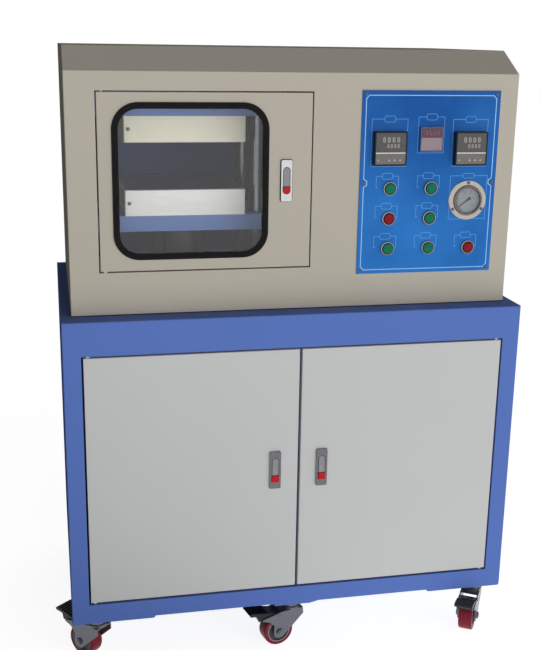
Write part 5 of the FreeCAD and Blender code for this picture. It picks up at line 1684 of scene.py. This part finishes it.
@dataclass(frozen=True)
class PressureGauge:
    """The pressure gauge: flange, rolled bezel, dial with its scale, needle, lens."""

    flange_radius: float = 39.5
    bezel_radius: float = 30.0
    face_radius: float = 25.0
    proud: float = 7.0
    case_radius: float = 29.9
    case_depth: float = 32.0
    dial_at: float = 1.0
    scale_radius: float = 21.5
    zero_degrees: float = 218.0
    sweep_degrees: float = 256.0
    top_reading: int = 25
    screw: Pair = (3.3, 1.7)
    number_inset: float = 7.2
    number_height: float = 4.4

    def build(self) -> None:
        """Makes every piece of the gauge."""
        at, case = self.at, Workpiece()
        f, r, p, o, d = self.face_radius, self.bezel_radius, -self.proud, self.flange_radius, self.dial_at
        c, e = self.case_radius, self.case_depth
        case.turned([(f + 1.5, d), (f + 1.5, p + 1.5), (r - 0.6, p + 1.5), (r - 0.6, -3.4), (r + 0.6, -3.4),
                     (r + 1.6, -3.0), (o - 1.9, -2.3), (o - 0.6, -1.8), (o, -1.0), (o, 0), (c, 0), (c, e - 3),
                     (c - 3, e), (9, e), (9, e + 14), (6, e + 14), (6, e + 26), (0, e + 26), (0, d), (f + 1.5, d)],
                    at, BACK, 72)
        case.finish("gauge_housing", "machine", Stock.BUTTON_CHROME, ["gauge_case"],
                    SpunSteel((0.45, 0.42, 0.38, 1), at), 26.0)
        bezel = Workpiece()
        bezel.turned([(f + 0.9, p + 1.5), (f + 0.9, p + 0.6), (f + 1.6, p + 0.1), (f + 2.2, p), (r - 1.9, p),
                      (r - 0.8, p + 0.3), (r - 0.2, p + 1.0), (r, p + 1.9), (r, -4.4), (r - 0.55, -4.4),
                      (r - 0.55, p + 1.5), (f + 0.9, p + 1.5)], at, BACK, 72)
        bezel.finish("gauge_bezel", "machine", Stock.BUTTON_CHROME, (), SpunSteel((0.19, 0.16, 0.15, 1), at), 30.0)
        # Painted shade: two black rings, one in the groove round the dial inside the bezel, one where the bezel meets
        # the flange.
        groove_shades = Workpiece()
        groove_shades.turned([(f, p + 1.48), (f - 0.1, p + 1.0), (f + 0.1, p + 0.75), (f + 0.88, p + 0.75),
                      (f + 0.88, p + 1.48), (f, p + 1.48)], at, BACK, 64)
        groove_shades.turned([(r - 0.5, -4.38), (r + 0.05, -4.38), (r + 0.55, -3.42), (r - 0.5, -3.42), (r - 0.5, -4.38)],
                     at, BACK, 72)
        groove_shades.finish("gauge_groove_shades", "machine", Stock.CONTACT_BLACK)
        self._screws()
        self._dial()
        self._needle()
        dress(Stock.LENS, "gauge_lens")

    @property
    def at(self) -> Triple:
        """The gauge's middle, on the plate."""
        return middle("gauge_case").x, panel_face(), middle("gauge_case").z

    def _screws(self) -> None:
        """Three screws in the flange."""
        work, at = Workpiece(), self.at
        for degrees in (90, 210, 330):
            a, r = math.radians(degrees), (self.flange_radius + self.bezel_radius) / 2 + 0.3
            work.screw((at[0] + r * math.cos(a), at[1] - 2.4, at[2] + r * math.sin(a)), FRONT, *self.screw)
        work.finish("gauge_screws", "machine", Stock.SCREW_DARK)

    def _dial(self) -> None:
        """The pale dial with its ticks and plain numbers."""
        plate, marks, at = Workpiece(), Workpiece(), self.at
        front = at[1] + self.dial_at
        plate.turned([(0, -0.5), (self.face_radius + 1.3, -0.5), (self.face_radius + 1.3, 0.3), (0, 0.3)],
                     (at[0], front, at[2]), BACK, 64)
        plate.finish("gauge_dial", "machine", Stock.DIAL_WHITE)
        face = front - 0.5
        for tick in range(self.top_reading + 1):
            turn = math.radians(self.zero_degrees - self.sweep_degrees * tick / self.top_reading)
            major = tick % 5 == 0
            length, width = (4.0, 0.7) if major else (2.3, 0.32)
            r = self.scale_radius - length / 2
            made = marks.block((r - length / 2, face - 0.06, -width / 2), (r + length / 2, face + 0.02, width / 2))
            marks.move(made, shift(at[0], 0, at[2]) @ Matrix.Rotation(-turn, 4, "Y"))
            if major:
                inner = self.scale_radius - self.number_inset
                marks.letters(str(tick), at[0] + inner * math.cos(turn), at[2] + inner * math.sin(turn),
                              self.number_height, face - 0.06, face + 0.02)
        marks.finish("gauge_scale", "machine", Stock.DIAL_BLACK)

    def _needle(self) -> None:
        """The tapered needle with its hub and round counterweight, at zero."""
        work = Workpiece()
        blade = work.mesh.faces.new([work.mesh.verts.new((x, -2.5, z)) for x, z in (
            (22.5, 0.25), (0, 1.0), (-5.5, 1.0), (-5.5, -1.0), (0, -1.0), (22.5, -0.25))])
        work.thicken([blade], (0, 0.8, 0))
        work.soften(work.mesh.edges[:], 0.1, 1)
        work.turned([(0, -2.5), (2.3, -2.5), (2.6, -2.3), (2.6, -1.75), (0, -1.75)], (-5.5, 0, 0), BACK, 28)
        work.turned([(0, -3.0), (1.7, -3.0), (2.2, -2.7), (2.2, -1.7), (1.0, -1.7), (1.0, 0.4), (0, 0.4)],
                    (0, 0, 0), BACK, 32)
        turn = Matrix.Rotation(-math.radians(self.zero_degrees), 4, "Y")
        work.move(work.mesh.verts[:], shift(*self.at) @ turn)
        work.finish("gauge_pointer", "needle", Stock.NEEDLE, ["gauge_needle"])


@dataclass(frozen=True)
class Press:
    """The flat-plate press: beams, columns with nuts, ram, platens with their covers."""

    x: float = -207.0
    y: float = -20.0
    column_dx: float = 152.0
    column_dy: float = 84.0
    column_radius: float = 18.0
    end_radius: float = 15.0
    nut_flats: float = 46.0
    nut_height: float = 24.0
    ram_radius: float = 55.0
    bed_foot: float = 729.0
    cover_thickness: float = 2.0
    cover_screw: Pair = (3.6, 2.2)
    cover_screw_dx: float = 111.0

    def build(self) -> None:
        """Dresses the beams and makes columns, ram and covers."""
        dress(Stock.MACHINE_ENAMEL, "press_bed", "moving_table", "press_crosshead")
        dress(Stock.GROUND_STEEL, "lower_platen", "upper_platen")
        dress(Stock.BOARD, "lower_insulation_board", "upper_insulation_board")
        self._columns()
        self._ram()
        self._cover("upper", "machine", Stock.CREAM_SHEET)
        self._cover("lower", "press_table", Stock.COVER_SHEET)

    def _columns(self) -> None:
        """Four chromed columns, and nuts at both ends."""
        low, high = span("press_columns")
        bed_top, head = span("press_bed")[1].z, span("press_crosshead")
        columns, nuts = Workpiece(), Workpiece()
        for i in (-1, 1):
            for j in (-1, 1):
                at = (self.x + i * self.column_dx, self.y + j * self.column_dy, 0)
                e, r = self.end_radius, self.column_radius
                columns.turned([(0, low.z), (e - 2, low.z), (e, low.z + 2), (e, bed_top), (r, bed_top),
                                (r, head[0].z), (e, head[0].z), (e, high.z - 2), (e - 2, high.z), (0, high.z)],
                               at, UP, 40)
                for z0 in (self.bed_foot - self.nut_height, head[1].z):
                    self._nut(nuts, at, z0)
        columns.finish("press_column_rods", "machine", Stock.ROD_CHROME, ["press_columns"])
        nuts.finish("press_column_nuts", "machine", Stock.NUT_STEEL)

    def _nut(self, work: Workpiece, at: Point, z0: float) -> None:
        """One hexagonal nut with chamfered corners.

        Args:
            work: The workpiece that takes it.
            at: Its column's axis.
            z0: Its lower face.
        """
        outer = self.nut_flats / 2 / math.cos(math.pi / 6)
        made = work.pierced(Disc(0, 0, outer, 6), [Disc(0, 0, self.end_radius + 0.02, 24)], 0, self.nut_height)
        work.move(made, shift(at[0], at[1], z0) @ UPRIGHT)
        edges = {e for v in made for e in v.link_edges
                 if (e.verts[0].co - Vector((at[0], at[1], 0))).xy.length > self.nut_flats / 2
                 and e.calc_face_angle(0.0) > 0.5}
        work.soften(edges, 1.6, 2)

    def _ram(self) -> None:
        """The chromed ram under the moving table."""
        low, high = span("press_ram")
        work = Workpiece()
        r = self.ram_radius
        work.turned([(0, low.z), (r - 2, low.z), (r, low.z + 2), (r, high.z), (0, high.z)],
                    (self.x, self.y, 0), UP, 72)
        work.finish("press_ram_rod", "press_table", Stock.ROD_CHROME, ["press_ram"])

    def _cover(self, which: str, body: str, stock: Stock) -> None:
        """A bent strip round a platen, with the screws that hold it.

        Args:
            which: The platen, upper or lower.
            body: What it rides on.
            stock: The strip's finish.
        """
        low, high = span(f"{which}_platen_cover")
        work = Workpiece()
        made = work.line(Plaque(0, 0, high.x - low.x, high.y - low.y, 3.0, 4), self.cover_thickness, 0,
                         high.z - low.z)
        centre = (low + high) / 2
        work.move(made, shift(centre.x, centre.y, low.z) @ UPRIGHT)
        work.finish(f"{which}_cover_strip", body, stock, [f"{which}_platen_cover"])
        screws = Workpiece()
        screws.screw((centre.x - self.cover_screw_dx, low.y, centre.z), FRONT, *self.cover_screw)
        screws.screw((centre.x + self.cover_screw_dx, high.y, centre.z), BACK, *self.cover_screw)
        screws.finish(f"{which}_cover_screws", body, Stock.SCREW_DARK)


@dataclass(frozen=True)
class HydraulicUnit:
    """Oil tank with filler and sight glass, motor, valve block and pressure pipe."""

    tank_x: Pair = (90.0, 380.0)
    tank_front: float = -120.0
    lid_z: float = 330.0
    motor_at: Pair = (235.0, 5.0)
    motor_radius: float = 62.0
    motor_height: float = 190.0
    fins: int = 28
    vents: int = 18
    block_size: Triple = (50.0, 70.0, 60.0)
    block_bolts: tuple[Pair, ...] = ((8.0, 9.0), (8.0, 61.0), (42.0, 9.0), (42.0, 61.0))
    port: Triple = (-110.0, -20.0, 610.0)
    pipe_radius: float = 6.0
    pipe_bend: float = 18.0
    sight_z: float = 203.5
    lid_back: float = 130.0

    def build(self) -> None:
        """Dresses the tank and makes what stands on it."""
        dress(Stock.TANK_ENAMEL, "oil_tank")
        self._motor()
        self._valve_block()
        self._fittings()

    def _motor(self) -> None:
        """The upright motor: flange, finned body, cowl with its vent slots, terminal box."""
        work = Workpiece()
        x, y, z = *self.motor_at, self.lid_z
        r, top = self.motor_radius, self.lid_z + self.motor_height
        work.turned([(0, z), (79, z), (80, z + 1), (80, z + 9), (79, z + 10), (r + 2, z + 12), (r, z + 16),
                     (r, top - 40), (0, top - 40)], (x, y, 0), UP, 64)
        work.turned([(0, top - 40), (r + 5, top - 40), (r + 5, top - 8), (r + 2.5, top - 3), (r - 3, top),
                     (12, top), (10, top - 3), (0, top - 3)], (x, y, 0), UP, 64)
        for index in range(self.fins):
            fin = work.block((r - 2, -1.0, z + 16), (r + 5, 1.0, top - 42), 0.5, 1)
            turn = Matrix.Rotation(math.tau * index / self.fins, 4, "Z")
            work.move(fin, shift(x, y, 0) @ turn)
        work.block((x + 40, y - 35, z + 50), (x + 100, y + 35, z + 115), 3.0, 3)
        work.finish("motor_housing", "machine", Stock.MOTOR_ENAMEL, ["pump_motor"])
        vents = Workpiece()
        for index in range(self.vents):
            turn = Matrix.Rotation(math.tau * index / self.vents, 4, "Z")
            slot = vents.block((20, -1.4, top - 0.6), (52, 1.4, top + 0.15), 0.1, 1)
            vents.move(slot, shift(x, y, 0) @ turn)
        vents.finish("motor_vents", "machine", Stock.CONTACT_BLACK)

    def _valve_block(self) -> None:
        """The valve block, its solenoid and the pipe to the cylinder."""
        x0, y0, z0 = self.tank_x[0] + 6, self.tank_front + 20, self.lid_z
        wide, deep, tall = self.block_size
        lid = z0 + tall
        block, coil, pipe = Workpiece(), Workpiece(), Workpiece()
        block.block((x0, y0, z0), (x0 + wide, y0 + deep, lid), 1.2, 2)
        for dx, dy in self.block_bolts:
            block.screw((x0 + dx, y0 + dy, lid), UP, 4.0, 3.5, Recess.HEX)
        block.finish("valve_block", "machine", Stock.GROUND_STEEL)
        coil.turned([(0, 0), (18, 0), (18, 52), (16.5, 54), (9, 54), (8, 62), (0, 62)],
                    (x0 + wide / 2, y0 + deep / 2, lid), UP, 40)
        coil.finish("valve_coil", "machine", Stock.CONTACT_BLACK)
        out_y, out_z, riser = y0 + 60, z0 + 20, x0 - 40
        pipe.pipe([(x0, out_y, out_z), (riser, out_y, out_z), (riser, self.port[1], out_z),
                   (riser, self.port[1], self.port[2]), self.port], self.pipe_radius, self.pipe_bend)
        pipe.finish("pressure_pipe", "machine", Stock.BRIGHT_ZINC)

    def _fittings(self) -> None:
        """The tank's sight glass with its oil, and the lid's screws."""
        sight, oil, screws = Workpiece(), Workpiece(), Workpiece()
        x, z, face = self.tank_x[0] + 51, self.sight_z, self.tank_front
        sight.pierced(Plaque(x, z, 20.0, 108.0, 4.0, 4), [Plaque(x, z, 10.0, 84.0, 4.0, 4)], face - 9.4, face - 8.0,
                      0.5, 2)
        for rise in (-49.5, 49.5):
            sight.screw((x, face - 9.4, z + rise), FRONT, 3.5, 2.2, Recess.HEX)
        sight.finish("sight_glass_frame", "machine", Stock.BRIGHT_ZINC)
        oil.pierced(Plaque(x, z, 9.6, 83.6, 4.0, 4), [], face - 8.9, face - 7.9)
        oil.finish("sight_glass_oil", "machine", Stock.SIGHT_OIL)
        low, high = self.tank_x
        for sx in (low, (low + high) / 2, high):
            for sy in (face, self.lid_back):
                screws.screw((sx, sy, self.lid_z), UP, 4.5, 4.0, Recess.HEX)
        screws.finish("tank_lid_screws", "machine", Stock.BRIGHT_ZINC)


@dataclass(frozen=True)
class Caster:
    """One swivel caster: fork, tyre on its core, and a brake pedal at the front."""

    name: str
    radius: float = 33.5
    width: float = 30.0
    hub_width: float = 34.0
    tyre_depth: float = 8.0
    rivets: int = 5
    rivet_circle: float = 16.2

    def build(self) -> None:
        """Dresses the fork and the pedal, and makes the wheel's tyre, core and rim rings."""
        dress(Stock.BRIGHT_ZINC, f"{self.name}_fork")
        if f"{self.name}_pedal" in frame["nodes"]:
            dress(Stock.PEDAL_BLACK, f"{self.name}_pedal")
        self._tyre()
        self._core()

    @property
    def axle(self) -> tuple[Vector, Vector]:
        """The wheel's middle and the way its axle points."""
        joint = next(j for j in frame["joints"] if j["name"] == f"{self.name}_wheel_roll")
        return middle(f"{self.name}_wheel"), Vector(joint["axis"])

    def _tyre(self) -> None:
        """The crowned tyre."""
        w, r, inner = self.width / 2, self.radius, self.radius - self.tyre_depth
        half = [(inner, w - 0.8), (inner + 1.2, w - 0.2), (r - 3.0, w), (r - 1.4, w - 0.6), (r - 0.5, w - 2.0),
                (r - 0.1, w - 5.0), (r, w - 8.0)]
        work = Workpiece()
        work.turned(both_sides(half), *self.axle, 72)
        work.finish(f"{self.name}_tyre", f"{self.name}_roller", Stock.TYRE, [f"{self.name}_wheel"], crease=40.0)

    def _core(self) -> None:
        """The dished core with its rim ring, hub and rivets."""
        at, axis = self.axle
        w, rim, hub = self.width / 2, self.radius - self.tyre_depth, self.hub_width / 2
        half = [(4.1, hub), (8.6, hub), (9.2, hub - 0.6), (10.0, w - 3.8), (12.0, w - 4.6), (20.5, w - 4.6),
                (21.6, w - 4.0), (22.4, w - 1.2), (23.0, w - 0.6), (rim - 0.6, w - 0.6), (rim, w - 0.9)]
        work = Workpiece()
        work.turned(both_sides(half), at, axis, 64)
        for index in range(self.rivets):
            a = math.tau * index / self.rivets + 0.4
            where = (self.rivet_circle * math.cos(a), self.rivet_circle * math.sin(a), 0)
            for side in (-1, 1):
                z = side * (w - 4.6)
                rivet = work.turned([(0, z - side * 0.4), (1.7, z - side * 0.4), (1.7, z + side * 0.6),
                                     (1.1, z + side * 1.1), (0, z + side * 1.2)], where, UP, 12)
                work.move(rivet, shift(*at) @ turn_to(UP, axis))
        work.finish(f"{self.name}_core", f"{self.name}_roller", Stock.WHEEL_CORE)
        ring = Workpiece()
        for side in (-1, 1):
            near, far = side * (w - 0.8), side * (w - 0.35)
            ring.turned([(rim - 2.0, near), (rim - 1.8, far), (rim - 0.2, far), (rim, near), (rim - 2.0, near)],
                        at, axis, 64)
        ring.finish(f"{self.name}_rim", f"{self.name}_roller", Stock.RIM_GREY)


@dataclass(frozen=True)
class CasterPlates:
    """The casters' top plates with the bolts that hold them."""

    half_length: float = 30.0
    half_width: float = 22.0
    offset: float = 2.0
    bolt_z: float = 99.0
    bolt: Pair = (5.2, 4.2)

    def build(self) -> None:
        """Dresses the plates and adds four bolts to each."""
        dress(Stock.BRIGHT_ZINC, "caster_top_plates")
        work = Workpiece()
        for joint in frame["joints"]:
            if joint["name"].endswith("_swivel_turn"):
                x, y = joint["pos_m"][0] / MM, joint["pos_m"][1] / MM + self.offset
                for i in (-1, 1):
                    for j in (-1, 1):
                        work.screw((x + i * self.half_length, y + j * self.half_width, self.bolt_z), DOWN,
                                   *self.bolt, Recess.HEX)
        work.finish("caster_bolts", "machine", Stock.BRIGHT_ZINC)


def main() -> None:
    """Builds the machine's looks from its sub-assemblies."""
    logging.basicConfig(level=logging.INFO, format="%(message)s")
    Studio().set_up()
    Cabinet().build()
    Hood().build()
    Window().build()
    for side in ("left", "right"):
        FlushLock(side, f"{side}_door", ButtonForm.SQUARE, Stock.LOCK_SATIN, Stock.LEVER_SATIN,
                  Stock.RELEASE_RED).build()
    FlushLock("chamber", "window_door", ButtonForm.ROUND_FOOT, Stock.LOCK_CHROME, Stock.LEVER_SATIN,
              Stock.RELEASE_BRIGHT, True, 21.6).build()
    ControlPanel().build()
    PushButtons().build()
    Controllers().build()
    Timer().build()
    PressureGauge().build()
    Press().build()
    HydraulicUnit().build()
    CasterPlates().build()
    for name in ("front_left", "front_middle", "front_right", "rear_left", "rear_right"):
        Caster(name).build()


if __name__ == "__main__":
    main()
